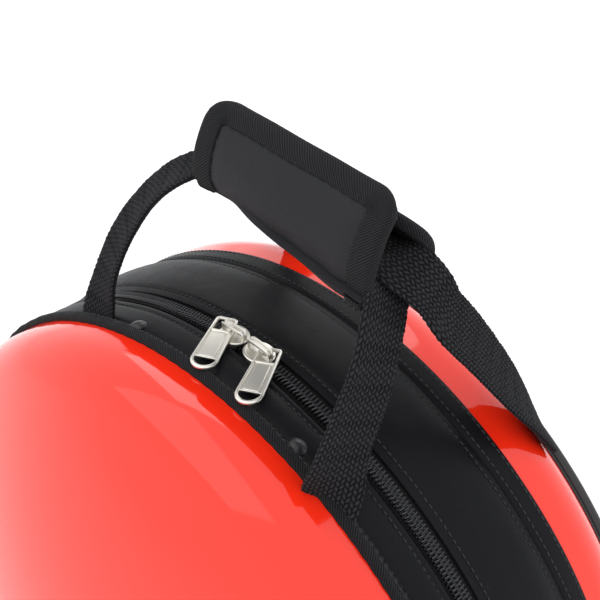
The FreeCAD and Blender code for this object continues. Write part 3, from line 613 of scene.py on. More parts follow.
# rim binding: twill tape folded round the shell's edge
prof = catmull([(-42.6, -0.6), (-42.9, 0.9), (-41.8, 2.6), (-39.9, 2.9), (-38.1, 2.3), (-37.2, 1.3), (-37.2, 0.2), (-39.5, -1.0), (-41.6, -1.4)], 26, True)


def pucker(s, y, d):
    return 0.12 * np.sin(s * 0.9 + 0.4 * y), 0.16 * np.sin(s * 0.55) * smoothstep(d, 0, 2) + 0.12 * np.sin(s * 0.21 + 1.0) * smoothstep(d, 0, 2)


sewn(sweep("rim_binding", prof, ring, closed_path=True, bump=pucker), "twill", [(-38.75, 2.62, -HALF, HALF)], "lid", "twill_tape", "front_rim_binding")


def strip_profile(y0, y1, base, crown, edge, n=26, thick=2.4, power=2.2):
    """A padded strip: flat underside, crowned top."""
    t = np.linspace(-1, 1, n)
    top = base + crown * (1 - np.abs(t) ** power)
    y = (y0 + y1) / 2 + (y1 - y0) / 2 * t
    top[0] -= edge
    top[-1] -= edge
    up = list(zip(y[::-1], top[::-1]))
    dn = [(y0, base - thick), (y1, base - thick)]
    return np.array(up + dn)


# front gusset strip, between the binding and the zip
prof = np.array([(-21.3, -1.2), (-21.2, 0.2), (-21.7, 1.05), (-22.6, 1.35), (-23.9, 1.25), (-24.6, 0.95), (-25.2, 1.2), (-27.5, 1.55),
                 (-30.5, 1.6), (-33.0, 1.45), (-35.0, 1.15), (-36.0, 0.75), (-36.6, 0.35), (-37.3, 0.5), (-38.6, 0.6), (-39.4, 0.2), (-39.4, -1.2)])
prof = catmull(prof, 60, True)
sewn(sweep("front_strip", prof, ring, closed_path=True,
           bump=lambda s, y, d: (0 * y, smoothstep(d, -0.2, 0.8) * (0.18 * np.sin(s * 0.11 + 0.8) + 0.12 * np.sin(s * 0.043 + y * 0.2)))),
     "vinyl", [(-24.55, 0.98, -HALF, HALF), (-36.5, 0.42, -HALF, HALF)], "lid", "black_vinyl", "front_gusset_strip")

sec = np.linspace(-math.radians(119.5) * R0, math.radians(119.5) * R0, 560)


def panel_bump(s, y, d):
    up = smoothstep(d, 0.2, 1.6)
    t = (y - 8.2) / 17.8
    soft = 0.28 * np.sin(s * 0.035 + 0.6 * t) + 0.16 * np.sin(s * 0.083 + 2.0 * t + 1.0)
    tuck = -0.30 * np.exp(-((np.abs(t) - 0.93) / 0.06) ** 2) * (0.5 + 0.5 * np.sin(s * 2 * math.pi / 3.4))
    seam = -0.42 * (np.exp(-((y + 6.6) / 0.8) ** 2) + np.exp(-((y - 23.0) / 0.8) ** 2))
    flat = smoothstep(np.abs(s), sec[-1] - 18, sec[-1]) * np.maximum(d - 1.0, 0)
    return 0 * y, up * (soft * (1 - t ** 2) + tuck + seam - flat)


t = np.linspace(-1, 1, 91)
top = 0.15 + 3.3 * (1 - np.abs(t) ** 2.6)
yy = 8.2 + 18.2 * t
END = float(sec[-1])
prof = np.array(list(zip(yy[::-1], top[::-1])) + [(-10.4, -0.9), (26.8, -0.9)])
sewn(sweep("main_panel", prof, sec, bump=panel_bump), "vinyl", [(-6.6, 1.30, -END + 20, END - 20), (23.0, 1.22, -END + 20, END - 20)], "case", "black_vinyl", "main_gusset_panel")

prof = np.array([(37.0, -1.0), (37.0, 0.3), (36.6, 0.75), (35.5, 0.95), (33.0, 1.05), (30.0, 1.0), (28.2, 0.7), (27.3, 0.25), (26.9, -0.2), (26.9, -1.0)])
prof = catmull(prof, 44, True)
sewn(sweep("rear_strip", prof, sec, bump=lambda s, y, d: (0 * y, smoothstep(d, 0, 0.6) * 0.1 * np.sin(s * 0.07 + y * 0.3))),
     "vinyl", [(28.9, 0.98, -END, END), (35.2, 1.0, -END, END)], "case", "black_vinyl", "rear_gusset_strip")

# lower gusset: a woven base panel, and the two edges of the cloth hinge beside it
LOW = math.radians(119.7) * R0
low = np.linspace(LOW, 2 * HALF - LOW, 420)


def slack(s, y, d):
    return 0.10 * np.sin(s * 0.19), smoothstep(d, 0, 0.8) * (0.16 * np.sin(s * 0.06 + 0.1 * y) + 0.08 * np.sin(s * 0.21 + y * 0.5))


prof = catmull([(36.9, -0.9), (36.9, 0.4), (36.2, 0.95), (33.0, 1.05), (20.0, 1.1), (5.0, 1.1), (-5.6, 1.05), (-8.2, 0.95), (-8.9, 0.4), (-8.9, -0.9)], 90, True)
sewn(sweep("base_cloth", prof, low, bump=slack), "base", [(34.6, 1.08, LOW + 1, 2 * HALF - LOW - 1), (-6.8, 1.08, LOW + 1, 2 * HALF - LOW - 1)],
     "case", "base_fabric", "base_panel")
prof = catmull([(-16.35, -0.8), (-16.35, 0.3), (-17.0, 0.85), (-19.4, 0.95), (-21.3, 0.8), (-21.9, 0.2), (-21.9, -0.9)], 40, True)
done(sweep("hinge_cloth_front", prof, low, bump=slack), "base", "lid", "base_fabric", "hinge_strip_front")
prof = catmull([(-15.85, -0.8), (-15.85, 0.3), (-15.2, 0.85), (-12.4, 0.95), (-9.9, 0.8), (-9.15, 0.2), (-9.15, -0.9)], 40, True)
done(sweep("hinge_cloth_rear", prof, low, bump=slack), "base", "case", "base_fabric", "hinge_strip_rear")

# zip tapes under the strips, and the lining behind the gusset
done(sweep("tape_front", rounded(-27.5, -16.6, -2.1, -1.3, 0.25), sec, bump=lambda s, y, d: (0 * y, 0.07 * np.sin(s * 0.4))), "tape", "lid", "zip_tape", "front_zip_tape")
done(sweep("tape_rear", rounded(-15.6, -4.7, -2.1, -1.3, 0.25), sec, bump=lambda s, y, d: (0 * y, 0.07 * np.sin(s * 0.4 + 1))), "tape", "case", "zip_tape", "rear_zip_tape")
sec_in = np.linspace(-math.radians(121.5) * R0, math.radians(121.5) * R0, 560)
done(sweep("gusset_cloth", rounded(-8.4, 36.4, -3.6, -2.4, 0.4), sec_in, bump=lambda s, y, d: (0 * y, -0.12 * np.abs(np.sin(s * 0.05 + y * 0.1)))),
     "lining", "case", "lining", "gusset_lining")

# ------------------------------------------------------------------ zip coils
def coil(name, side):
    """One row of a spiral zip: fat nylon loops, each leaning along the chain."""
    pitch = 1.75
    n = int(2 * ZIP_HALF / pitch)
    k, m = 10, 7
    sgn = -1.0 if side == "front" else 1.0
    pts = []
    for i in range(k):
        f = i / (k - 1)
        # a flat hairpin: starts at the tape side, goes to the centre line and returns
        g = 1 - abs(2 * f - 1)
        across = -3.0 + 3.55 * min(1.0, g * 1.25)
        up = 1.45 + 0.75 * math.cos(math.pi * f)
        pts.append((0.62 * (2 * f - 1), across, up))
    pts = catmull(pts, 16)
    tan = np.gradient(pts, axis=0)
    tan /= np.linalg.norm(tan, axis=1)[:, None]
    upv = np.array([0.0, 0.0, 1.0])
    b = np.cross(tan, upv)
    b /= np.maximum(np.linalg.norm(b, axis=1), 1e-6)[:, None]
    c = np.cross(b, tan)
    ang = np.linspace(0, 2 * math.pi, m, endpoint=False)
    ringp = pts[:, None] + 0.42 * (np.cos(ang)[None, :, None] * b[:, None] + np.sin(ang)[None, :, None] * c[:, None])
    base = ringp.reshape(-1, 3)
    kk = len(pts)
    I, J = np.meshgrid(np.arange(kk - 1), np.arange(m), indexing="ij")
    f0 = np.stack([I * m + J, (I + 1) * m + J, (I + 1) * m + (J + 1) % m, I * m + (J + 1) % m], -1).reshape(-1, 4)
    V, F = [], []
    s0 = -ZIP_HALF + (0.0 if side == "front" else pitch / 2)
    for i in range(n):
        s = s0 + i * pitch + base[:, 0]
        th = s / R0
        r = 176.7 + base[:, 2]
        y = ZIP + sgn * (-base[:, 1])
        V.append(np.stack([r * np.sin(th), y, ZC + r * np.cos(th)], -1))
        F.append(f0 + i * len(base))
    V, F = np.concatenate(V) * 0.001, np.concatenate(F)
    if side != "front":
        F = F[:, ::-1]
    me = bpy.data.meshes.new(name)
    me.from_pydata(V.tolist(), [], F.tolist())
    me.polygons.foreach_set("use_smooth", [True] * len(me.polygons))
    ob = bpy.data.objects.new(name, me)
    bpy.context.scene.collection.objects.link(ob)
    return ob


done(coil("coil_front", "front"), "coil", "lid", "zip_coil", "front_zip_coil")
done(coil("coil_rear", "rear"), "coil", "case", "zip_coil", "rear_zip_coil")

# ------------------------------------------------------------------ back panel and piping
def rear_surface(inset, lift, n=420):
    """Polar grid radius and depth of the rear dome's outside at an outline inset."""
    phi = np.linspace(-math.pi, math.pi, n, endpoint=False)
    r = polar_outline(phi, inset)
    dep = -254.5 + np.sqrt((329.0 + lift) ** 2 - r ** 2)
    return phi, r, dep


def back_panel():
    phi = np.linspace(-math.pi, math.pi, 360, endpoint=False)
    rim = polar_outline(phi, 15.4)
    f = np.concatenate([[1.0, 1.0, 0.998], 1 - np.linspace(0.01, 1, 50) ** 1.0])
    f[-1] = 0.002
    lift = np.concatenate([[0.3, 1.6, 2.6], 2.9 + 1.9 * smoothstep(1 - f[3:], 0.0, 0.12)])
    r = rim[:, None] * f[None]
    puff = lift[None] + 0.25 * np.sin(r * 0.05) * np.sin(phi * 3)[:, None] * (1 - f[None])
    d = -254.5 + np.sqrt((329.0 + puff) ** 2 - r ** 2)
    P = np.stack([r * np.sin(phi)[:, None], REAR + d, ZC + r * np.cos(phi)[:, None]], -1)
    return grid("back_cover", P, phi * 160, arclen(np.stack([r[0], d[0]], -1)), closeu=True, flip=True, sharp=60)


done(back_panel(), "vinyl", "case", "black_vinyl", "back_panel")


def piping():
    obs = []
    n = 480
    for rad, inset, up in ((2.7, 13.4, 2.6),):
        phi, r, dep = rear_surface(inset, up, n)
        ang = np.linspace(0, 2 * math.pi, 14, endpoint=False)
        rr = r[:, None] + rad * np.cos(ang)[None]
        dd = dep[:, None] + rad * np.sin(ang)[None]
        P = np.stack([rr * np.sin(phi)[:, None], REAR + dd, ZC + rr * np.cos(phi)[:, None]], -1)
        obs.append(grid("p", P, phi * 165, np.arange(15) * 1.2, closeu=True, closev=True, flip=True))
    # sewn flange beside the cord
    phi, r, _ = rear_surface(11.6, 0, n)
    prof = np.array([(-0.6, 0.25), (-0.4, 1.0), (0.6, 1.35), (3.0, 1.3), (4.6, 1.2)])
    rr = r[:, None] - prof[None, :, 0]
    dd = -254.5 + np.sqrt((329.0 + prof[None, :, 1]) ** 2 - rr ** 2)
    P = np.stack([rr * np.sin(phi)[:, None], REAR + dd, ZC + rr * np.cos(phi)[:, None]], -1)
    obs.append(grid("f", P, phi * 165, prof[:, 0], closeu=True, flip=True))
    return join("back_piping", obs)


done(piping(), "piping", "case", "piping", "back_panel_piping")

# ------------------------------------------------------------------ straps
def frames_along(P, side):
    T = np.gradient(P, axis=0)
    T /= np.linalg.norm(T, axis=1)[:, None]
    S = side - T * np.sum(side * T, axis=1)[:, None]
    S /= np.linalg.norm(S, axis=1)[:, None]
    return T, S, np.cross(T, S)


def cell(u, v, pu=2.35, pv=1.75):
    """Height of a woven cell: rows along v, slanted one way and then the other."""
    row = np.floor(v / pv)
    odd = np.mod(np.abs(row), 2)
    c = v / pv - row - 0.5
    lean = np.where(odd > 0, 0.55, -0.55)
    x = u / pu + 0.5 * odd + lean * c
    x = x - np.floor(x) - 0.5
    return np.maximum(np.cos(math.pi * x), 0) ** 0.55 * np.maximum(np.cos(math.pi * c), 0) ** 0.45


def strap(name, path, side, width=21.6, thick=2.9, n=None, relief=0.7, cup=0.0, pinch=None):
    """Webbing along path (k x 3, mm) whose flat lies along side (k x 3)."""
    path, side = np.asarray(path, float), np.asarray(side, float)
    side = side / np.linalg.norm(side, axis=1)[:, None]
    L = arclen(catmull(path, 400))[-1]
    n = n or int(L / 0.5)
    both = catmull(np.concatenate([path, side * 40], 1), n * 4)
    q = arclen(both[:, :3])
    t = np.linspace(0, q[-1], n)
    P = np.stack([np.interp(t, q, both[:, i]) for i in range(3)], -1)
    S0 = np.stack([np.interp(t, q, both[:, 3 + i]) for i in range(3)], -1)
    for _ in range(10):
        P[1:-1] = 0.25 * P[:-2] + 0.5 * P[1:-1] + 0.25 * P[2:]
    T, S, Nn = frames_along(P, S0)
    w, h = width / 2, thick / 2
    top = np.linspace(-1, 1, 50)
    prof = [(w * x, h * (1 - 0.35 * abs(x) ** 8)) for x in top]
    edge = [(w + 0.5 * math.sin(a), h * 0.65 * math.cos(a)) for a in np.linspace(0.35, math.pi - 0.35, 5)]
    prof = prof + edge + [(-x, -y) for x, y in prof] + [(-x, -y) for x, y in edge]
    prof = np.array(prof)
    V = arclen(np.concatenate([prof, prof[:1]]))
    jit = 0.22 * np.sin(t * 1.31) + 0.18 * np.sin(t * 0.47 + 1.0)
    rel = relief * (cell(t[:, None] + 0.15 * np.sin(V[None, :-1] * 1.7), V[None, :-1] + jit[:, None]) - 0.4)
    rel = rel * (0.8 + 0.2 * np.sin(t * 3.3)[:, None] * np.sin(V[None, :-1] * 2.1))
    c = np.roll(prof, -1, 0) - np.roll(prof, 1, 0)
    nrm = np.stack([c[:, 1], -c[:, 0]], -1)
    nrm /= np.linalg.norm(nrm, axis=1)[:, None]
    if np.sum(nrm * prof) < 0:
        nrm = -nrm
    A = prof[None, :, 0] + nrm[None, :, 0] * rel
    B = prof[None, :, 1] + nrm[None, :, 1] * rel
    if pinch is not None:
        A = A * pinch(P)[:, None]
    B = B - np.broadcast_to(cup if np.isscalar(cup) else cup(P)[:, None], A.shape) * (A / w) ** 2
    X = P[:, None] + S[:, None] * A[..., None] + Nn[:, None] * B[..., None]
    # the section runs the same way round for every strap
    return grid(name, X, t, V, closev=True, caps=True, sharp=75, flip=True)


def ph(p):
    """From shell-rim depth and height above the arc centre to the row frame."""
    return (p[0], p[1] - 42.1, p[2] + 144.0)


def nudge(path, side, by):
    """Slide the legs sideways, leaving what lies inside the wrap alone."""
    out = []
    for p, w in zip(path, side):
        w = np.array(w) / np.linalg.norm(w)
        out.append(tuple(np.array(p) + w * by * float(smoothstep(237.0 - p[2], 0, 9))))
    return out


IN = (0.0, -1.0, 0.0)
front_left = [(-71.6, 2.6, 155.0), (-74.4, 5.9, 161.0), (-76.3, 9.4, 168.5), (-77.2, 13.8, 179.5), (-76.6, 18.3, 190.0), (-74.3, 22.4, 200.0),
              (-70.4, 26.7, 210.0), (-65.2, 31.0, 219.8), (-58.2, 35.4, 228.8), (-50.4, 39.6, 234.8), (-43, 42.4, 237.4), (-30, 43.5, 237.8), (0, 43.5, 237.8)]
side_l = [(0.93, 0.0, 0.37), (0.95, -0.02, 0.30), (0.97, -0.14, 0.20), (0.93, -0.34, 0.15), (0.90, -0.43, 0.05), (0.85, -0.52, -0.04),
          (0.78, -0.62, -0.09), (0.68, -0.72, -0.12), (0.55, -0.82, -0.16), (0.36, -0.92, -0.14), (0.12, -0.99, -0.05), IN, IN]
front_left = nudge(front_left, side_l, 0.8)
front_right = [(0, 43.5, 237.8), (30, 43.5, 237.8), (47, 43.2, 237.8), (54, 40.2, 236.4), (59.6, 35.2, 232.0), (64.2, 29.4, 226.3), (67.4, 24.0, 219.0), (68.9, 20.3, 211.0),
               (69.5, 16.4, 203.0), (69.7, 12.6, 194.0), (69.8, 9.2, 186.0), (70.3, 6.2, 177.0), (71.0, 4.0, 168.0), (71.6, 2.8, 159.0), (71.6, 2.4, 155.0)]
side_r = [IN, IN, IN, (-0.03, -0.93, 0.36), (-0.06, -0.88, 0.46), (-0.11, -0.87, 0.47), (-0.13, -0.89, 0.44), (-0.18, -0.90, 0.40), (-0.24, -0.89, 0.39),
          (-0.25, -0.89, 0.37), (-0.28, -0.89, 0.35), (-0.45, -0.82, 0.36), (-0.78, -0.50, 0.38), (-0.91, -0.10, 0.40), (-0.917, 0.0, 0.40)]
front_right = nudge(front_right, side_r, 1.5)
rear_right = [(0, 46.1, 242.4), (30, 46.1, 242.4), (47, 46.2, 242.4), (55.0, 47.2, 241.6), (61.2, 49.8, 238.6), (65.8, 54.2, 233.6), (69.4, 60.0, 226.4), (72.4, 66.8, 216.8),
              (75.0, 74.4, 205.8), (77.4, 82.6, 193.4), (79.8, 91.0, 180.4), (81.8, 99.4, 166.6), (83.5, 106.8, 153.2), (84.0, 110.2, 146.8)]
side_rr = [IN, IN, IN, (0.12, -0.96, -0.2), (0.30, -0.90, -0.30), (0.38, -0.86, -0.35), (0.44, -0.82, -0.38), (0.46, -0.81, -0.38), (0.51, -0.79, -0.34),
           (0.57, -0.76, -0.31), (0.65, -0.70, -0.29), (0.78, -0.58, -0.23), (0.87, -0.45, -0.20), (0.90, -0.32, -0.28)]
rear_right = nudge(rear_right, side_rr, 5.4)
rear_left = [(-54.0, 109.0, 158.0), (-55.0, 109.6, 164.0), (-57.2, 107.0, 172.5), (-58.6, 101.5, 184.0), (-57.5, 93.0, 198.0), (-55.5, 83.0, 211.0),
             (-53.6, 73.0, 222.5), (-52.0, 64.0, 231.5), (-49.6, 56.0, 238.0), (-45.6, 49.8, 241.4), (-39.0, 46.8, 242.2), (-30, 46.1, 242.4), (0, 46.1, 242.4)]
side_rl = [(-0.92, 0.05, -0.33), (-0.95, 0.1, -0.2), (-0.98, 0.1, -0.05), (-1.0, 0.05, 0.0), (-1.0, 0.0, 0.05), (-1.0, 0.0, 0.05),
           (-1.0, -0.05, 0.05), (-0.97, -0.2, 0.05), (-0.8, -0.6, 0.05), (-0.45, -0.9, 0.0), (-0.1, -1.0, 0.0), IN, IN]


def in_grip(P):
    return 1.0 - 0.14 * smoothstep(50 - np.abs(P[:, 0]), 0, 8)


def in_grip_rear(P):
    # gathered where it turns back behind the wrap's left end
    bend = smoothstep(-36 - P[:, 0], 0, 6) * smoothstep(P[:, 2], 366, 378)
    return in_grip(P) * (1 - 0.42 * bend)


fs = strap("front_strap", [ph(p) for p in front_left[:-1] + front_right], side_l[:-1] + side_r, cup=0.9, pinch=in_grip)
done(fs, "web", "lid", "webbing", "front_handle_strap")
rs = strap("rear_strap", [ph(p) for p in rear_left[:-1] + rear_right], side_rl[:-1] + side_rr, cup=0.7, pinch=in_grip_rear)
done(rs, "web", "case", "webbing", "rear_handle_strap")
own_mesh(fs)
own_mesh(rs)

# ------------------------------------------------------------------ handle wrap
# The wrap is one padded sheet folded round both straps. It is worked out in (u, v, d):
# u along the handle, v up the section, d outwards from its face.
GX0, GX1, PAD = -38.0, 58.0, 3.4
FLAP_F = [(-16.0, 382.4), (-15.7, 386.5), (-14.6, 391.5), (-12.0, 399.3), (-8.2, 407.6), (-3.8, 414.0), (-1.0, 416.0), (2.2, 416.8)]
FLAP_M = [(-10.2, 382.4), (-12.3, 386.3), (-13.3, 391.8), (-12.0, 399.8), (-8.6, 408.0), (-4.0, 414.1), (-1.2, 416.0), (2.2, 416.8)]
WRAP_F = [(-15.9, 382.0), (-15.2, 379.4), (-12.6, 376.9), (-8.0, 375.6), (2.0, 375.1), (9.0, 375.5), (14.4, 377.2), (17.0, 382.0), (16.8, 387.2), (14.6, 391.6), (11.2, 395.6), (7.4, 399.0)]
WRAP_M = [(-10.0, 382.0), (-9.2, 381.0), (-7.2, 379.8), (-4.0, 379.8), (2.0, 379.0), (8.6, 378.2), (14.2, 378.8), (17.0, 382.8), (17.0, 387.6), (14.8, 391.8), (11.2, 395.6), (7.4, 399.0)]
TUCK_X = [-40, -37, -32, -27, -20, -12, 0, 16, 25, 32, 40, 47, 56]
TUCK_W = [0.86, 0.86, 0.95, 1.08, 1.26, 1.06, 0.97, 0.84, 0.70, 0.54, 0.36, 0.33, 0.26]


class Section:
    def __init__(self, full, mid, lift=0.0):
        self.us = np.linspace(GX0 - 3, GX1 + 3, 90)
        cur = []
        tw = np.interp(self.us, TUCK_X, TUCK_W)
        k = np.exp(-0.5 * (np.arange(-8, 9) / 3.0) ** 2)
        tw = np.convolve(np.pad(tw, 8, mode="edge"), k / k.sum(), "valid")
        for w in tw:
            cur.append(catmull(np.asarray(full) * (1 - w) + np.asarray(mid) * w, 200))
        for u, c in zip(self.us, cur):
            c[:, 1] += lift * float(smoothstep(12 - u, 0, 34)) * smoothstep(386 - c[:, 1], 0, 7)
        self.c = np.array(cur)
        self.L = np.array([arclen(c)[-1] for c in self.c])
        self.length = float(self.L.mean())
        t = np.gradient(self.c, axis=1)
        t /= np.linalg.norm(t, axis=2)[..., None]
        self.n = np.stack([-t[..., 1], t[..., 0]], -1)

    def __call__(self, u, v, d):
        """u, v in mm (v scaled to the mean length), d outwards; arrays of one shape."""
        iu = np.clip((u - self.us[0]) / (self.us[1] - self.us[0]), 0, 88.999)
        iv = np.clip(v / self.length * 199, 0, 198.999)
        a, b = iu.astype(int), iv.astype(int)
        fu, fv = (iu - a)[..., None], (iv - b)[..., None]

        def pick(A):
            return ((A[a, b] * (1 - fu) + A[a + 1, b] * fu) * (1 - fv) + (A[a, b + 1] * (1 - fu) + A[a + 1, b + 1] * fu) * fv)
        c, n = pick(self.c), pick(self.n)
        n /= np.linalg.norm(n, axis=-1)[..., None]
        return np.concatenate([u[..., None], c + n * d[..., None]], -1)


def edge_path(L, r, corners=True, step=0.5):
    """Boundary of the flap in (u, v): up the left side, along the top, down the right side."""
    pts = [(GX0, v) for v in np.arange(0, L - r, step)]
    pts += [(GX0 + r - r * math.cos(a), L - r + r * math.sin(a)) for a in np.linspace(0, math.pi / 2, int(r * 1.6 / step))]
    pts += [(u, L) for u in np.arange(GX0 + r + step, GX1 - r, step)]
    pts += [(GX1 - r + r * math.sin(a), L - r + r * math.cos(a)) for a in np.linspace(0, math.pi / 2, int(r * 1.6 / step))]
    pts += [(GX1, v) for v in np.arange(L - r - step, -1e-6, -step)] + [(GX1, 0.0)]
    return np.array(pts)


def tape_round(name, sec, path, w, t, over=0.75, wob=0.0, side=1.0):
    """Tape folded over the edge of a sheet t thick; path in (u, v), w covers both faces."""
    T = np.gradient(path, axis=0)
    T /= np.linalg.norm(T, axis=1)[:, None]
    for _ in range(12):
        T[1:-1] = 0.25 * T[:-2] + 0.5 * T[1:-1] + 0.25 * T[2:]
    T /= np.linalg.norm(T, axis=1)[:, None]
    N = np.stack([T[:, 1], -T[:, 0]], -1) * side
    r = t / 2 + over
    prof = [(w, 0.05), (w - 0.1, over * 0.75), (w - 0.9, over)] + [(e, over + 0.12 * math.sin(e / w * math.pi)) for e in np.linspace(w - 2.0, r * 0.9, 9)]
    prof += [(r * 0.9 - r * 0.95 * math.sin(a) - 0.0, -t / 2 + r * math.cos(a)) for a in np.linspace(0.22, math.pi - 0.22, 11)]
    prof += [(e, -t - over) for e in np.linspace(r * 0.9, w - 2.0, 7)] + [(w - 0.9, -t - over), (w - 0.1, -t - over * 0.75), (w, -t - 0.05)]
    prof = np.array(prof)
    s = arclen(path)
    E = np.broadcast_to(prof[:, 0], (len(path), len(prof))).copy()
    D = np.broadcast_to(prof[:, 1], (len(path), len(prof))).copy()
    # a stitch line near the tape's inner edge, and slight unevenness
    st = np.exp(-((E - (w - 1.7)) / 0.45) ** 2) * (0.55 + 0.45 * np.cos(s[:, None] * 2 * math.pi / 2.6))
    D = D - np.sign(D + t / 2) * st * 0.32
    D += wob * np.sin(s[:, None] * 0.21 + E * 0.15) * np.sign(D + t / 2)
    E += 0.25 * np.sin(s[:, None] * 0.17 + 0.7) * (E > w * 0.6)
    uu = path[:, None, 0] + N[:, None, 0] * E
    vv = path[:, None, 1] + N[:, None, 1] * E
    P = sec(uu, vv, D)
    return grid(name, P, s, arclen(prof) * 1.0, sharp=75, flip=True)


def pad_sheet(name, sec, L, r, t, puff=0.7, band=9.2, step=0.8, dips=(1, 1, 1)):
    """The padded sheet itself: outer face, inner face and edges, rounded at its top corners."""
    u = np.arange(GX0 + 0.9, GX1 - 0.9 + step, step)
    du = np.minimum(u - GX0, GX1 - u)
    vmax = np.where(du < r, L - r + np.sqrt(np.maximum(r * r - (r - du) ** 2, 0)), L) - 0.9
    f = (1 - np.cos(np.linspace(0, math.pi, 90))) / 2
    v = vmax[:, None] * (0.35 * f + 0.65 * np.linspace(0, 1, 90))[None]
    uu = np.broadcast_to(u[:, None], v.shape)
    e = np.minimum(np.minimum(uu - GX0, GX1 - uu), np.where(dips[1], L - v, 99.0))
    lift = puff * smoothstep(e, band - 0.5, band + 7) - 0.45 * np.exp(-((e - band - 0.4) / 1.1) ** 2)
    crease = 0.16 * np.sin(uu * 0.33 + 0.12 * v) * smoothstep(14 - v, 0, 14) + 0.10 * np.sin(uu * 0.12 + v * 0.2)
    gather = 0.16 * np.exp(-((e - band - 1.2) / 1.6) ** 2) * np.sin((uu + v) * 2 * math.pi / 5.2)
    top = sec(uu, v, lift + crease * smoothstep(e, band, band + 5) + gather)
    bot = sec(uu, v, np.full_like(v, -t) - 0.3 * smoothstep(e, band, band + 6))
    P = np.concatenate([top, bot[:, ::-1]], 1)
    V = np.concatenate([v[len(u) // 2], v[len(u) // 2][::-1] + 100])
    return grid(name, P, u, V, closev=True, caps=True, sharp=60, flip=True)


def slab(name, sec, u0, u1, v0, v1, d0, d1, step=1.0):
    u = np.linspace(u0, u1, int((u1 - u0) / step) + 1)
    v = np.linspace(v0, v1, max(3, int((v1 - v0) / step) + 1))
    uu, vv = np.meshgrid(u, v, indexing="ij")
    a, b = sec(uu, vv, np.full_like(uu, d1)), sec(uu, vv, np.full_like(uu, d0))
    return grid(name, np.concatenate([a, b[:, ::-1]], 1), u, np.concatenate([v, v[::-1] + 60]), closev=True, caps=True, sharp=50, flip=True)


FS, WS = Section(FLAP_F, FLAP_M), Section(WRAP_F, WRAP_M, 4.6)
FL = FS.length
flap = done(pad_sheet("flap_panel", FS, FL, 12.5, PAD), "wrap", "grip_flap", "black_vinyl", "grip_flap_cover", "grip_flap_pad")
done(tape_round("flap_tape", FS, edge_path(FL, 12.5), 10.6, PAD, wob=0.10), "twill", "grip_flap", "twill_tape", "grip_flap_binding")
done(slab("loop_patch", FS, GX0 + 12, GX1 - 12, 15.0, FL - 9.0, -PAD - 1.1, -PAD - 0.35), "pile", "grip_flap", "hook_loop", "grip_loop_patch")
WL = WS.length
wrap = done(pad_sheet("wrap_panel", WS, WL, 14.0, PAD, puff=0.5), "wrap", "grip", "black_vinyl", "grip_wrap_cover", "grip_wrap_pad")
done(tape_round("wrap_tape", WS, edge_path(WL, 14.0), 9.0, PAD, wob=0.08), "twill", "grip", "twill_tape", "grip_wrap_binding")
tongue = [slab("a", FS, GX0 + 12, GX1 - 12, 15.0, FL - 12.0, -PAD - 2.6, -PAD - 1.5)]
done(join("hook_patch", tongue), "pile", "grip", "hook_loop", "grip_hook_patch")

# ------------------------------------------------------------------ zip sliders and pulls
def place(ob, M):
    ob.data.transform(M)
    ob.data.update()
    return ob


def prism(name, pts, levels, sharp=30, cap=True):
    """Stacked outlines: levels are (inset, z) in mm; pts run anticlockwise."""
    pts = np.asarray(pts, float)
    d1, d2 = pts - np.roll(pts, 1, 0), np.roll(pts, -1, 0) - pts
    n1 = np.stack([-d1[:, 1], d1[:, 0]], -1) / np.maximum(np.linalg.norm(d1, axis=1), 1e-9)[:, None]
    n2 = np.stack([-d2[:, 1], d2[:, 0]], -1) / np.maximum(np.linalg.norm(d2, axis=1), 1e-9)[:, None]
    n = n1 + n2
    n /= np.maximum(np.sum(n * n1, axis=1), 0.3)[:, None]
    P = np.array([np.concatenate([pts + n * i, np.full((len(pts), 1), z)], 1) for i, z in levels])
    return grid(name, P, None, None, closev=True, caps=cap, sharp=sharp, flip=False)


def pull_outline(k=22):
    w0, w1, yt, yb = 4.8, 5.75, 4.3, -(32.3 - 4.3 - 5.75)
    pts = [(w1 * math.cos(a), yb + w1 * math.sin(a)) for a in np.linspace(-math.pi, 0, k)]
    side = [(w1 + (w0 - w1) * f, yb + (yt - 1.9 - yb) * f) for f in np.linspace(0.08, 1, 12)]
    pts += side + [(w0 - 0.2, yt - 1.0), (w0 - 0.8, yt - 0.25), (w0 - 1.7, yt)]
    pts += [(-(w0 - 1.7), yt), (-(w0 - 0.8), yt - 0.25), (-(w0 - 0.2), yt - 1.0)] + [(-x, y) for x, y in side[::-1]]
    return np.array(pts), yb


def tube_ring(name, pts, prof):
    """A band that follows a closed outline: prof is a closed list of (inset, z)."""
    pts = np.asarray(pts, float)
    T = np.roll(pts, -1, 0) - np.roll(pts, 1, 0)
    T /= np.linalg.norm(T, axis=1)[:, None]
    N = np.stack([-T[:, 1], T[:, 0]], -1)
    prof = np.array(prof)
    extra = 1 + 0.35 * smoothstep(-pts[:, 1], 22.5, 27.0)
    P = np.concatenate([pts[:, None] + N[:, None] * (prof[None, :, 0:1] * extra[:, None, None]),
                        np.broadcast_to(prof[None, :, 1:2], (len(pts), len(prof), 1))], -1)
    return grid(name, P, None, None, closeu=True, closev=True, sharp=38, flip=False)


def poly_round(pts, r, k=4):
    out, m = [], len(pts)
    for i in range(m):
        p, a, b = (np.array(pts[j % m], float) for j in (i, i - 1, i + 1))
        da, db = (a - p) / np.linalg.norm(a - p), (b - p) / np.linalg.norm(b - p)
        for f in np.linspace(0, 1, k):
            out.append((1 - f) ** 2 * (p + da * r) + 2 * f * (1 - f) * p + f * f * (p + db * r))
    return np.array(out)


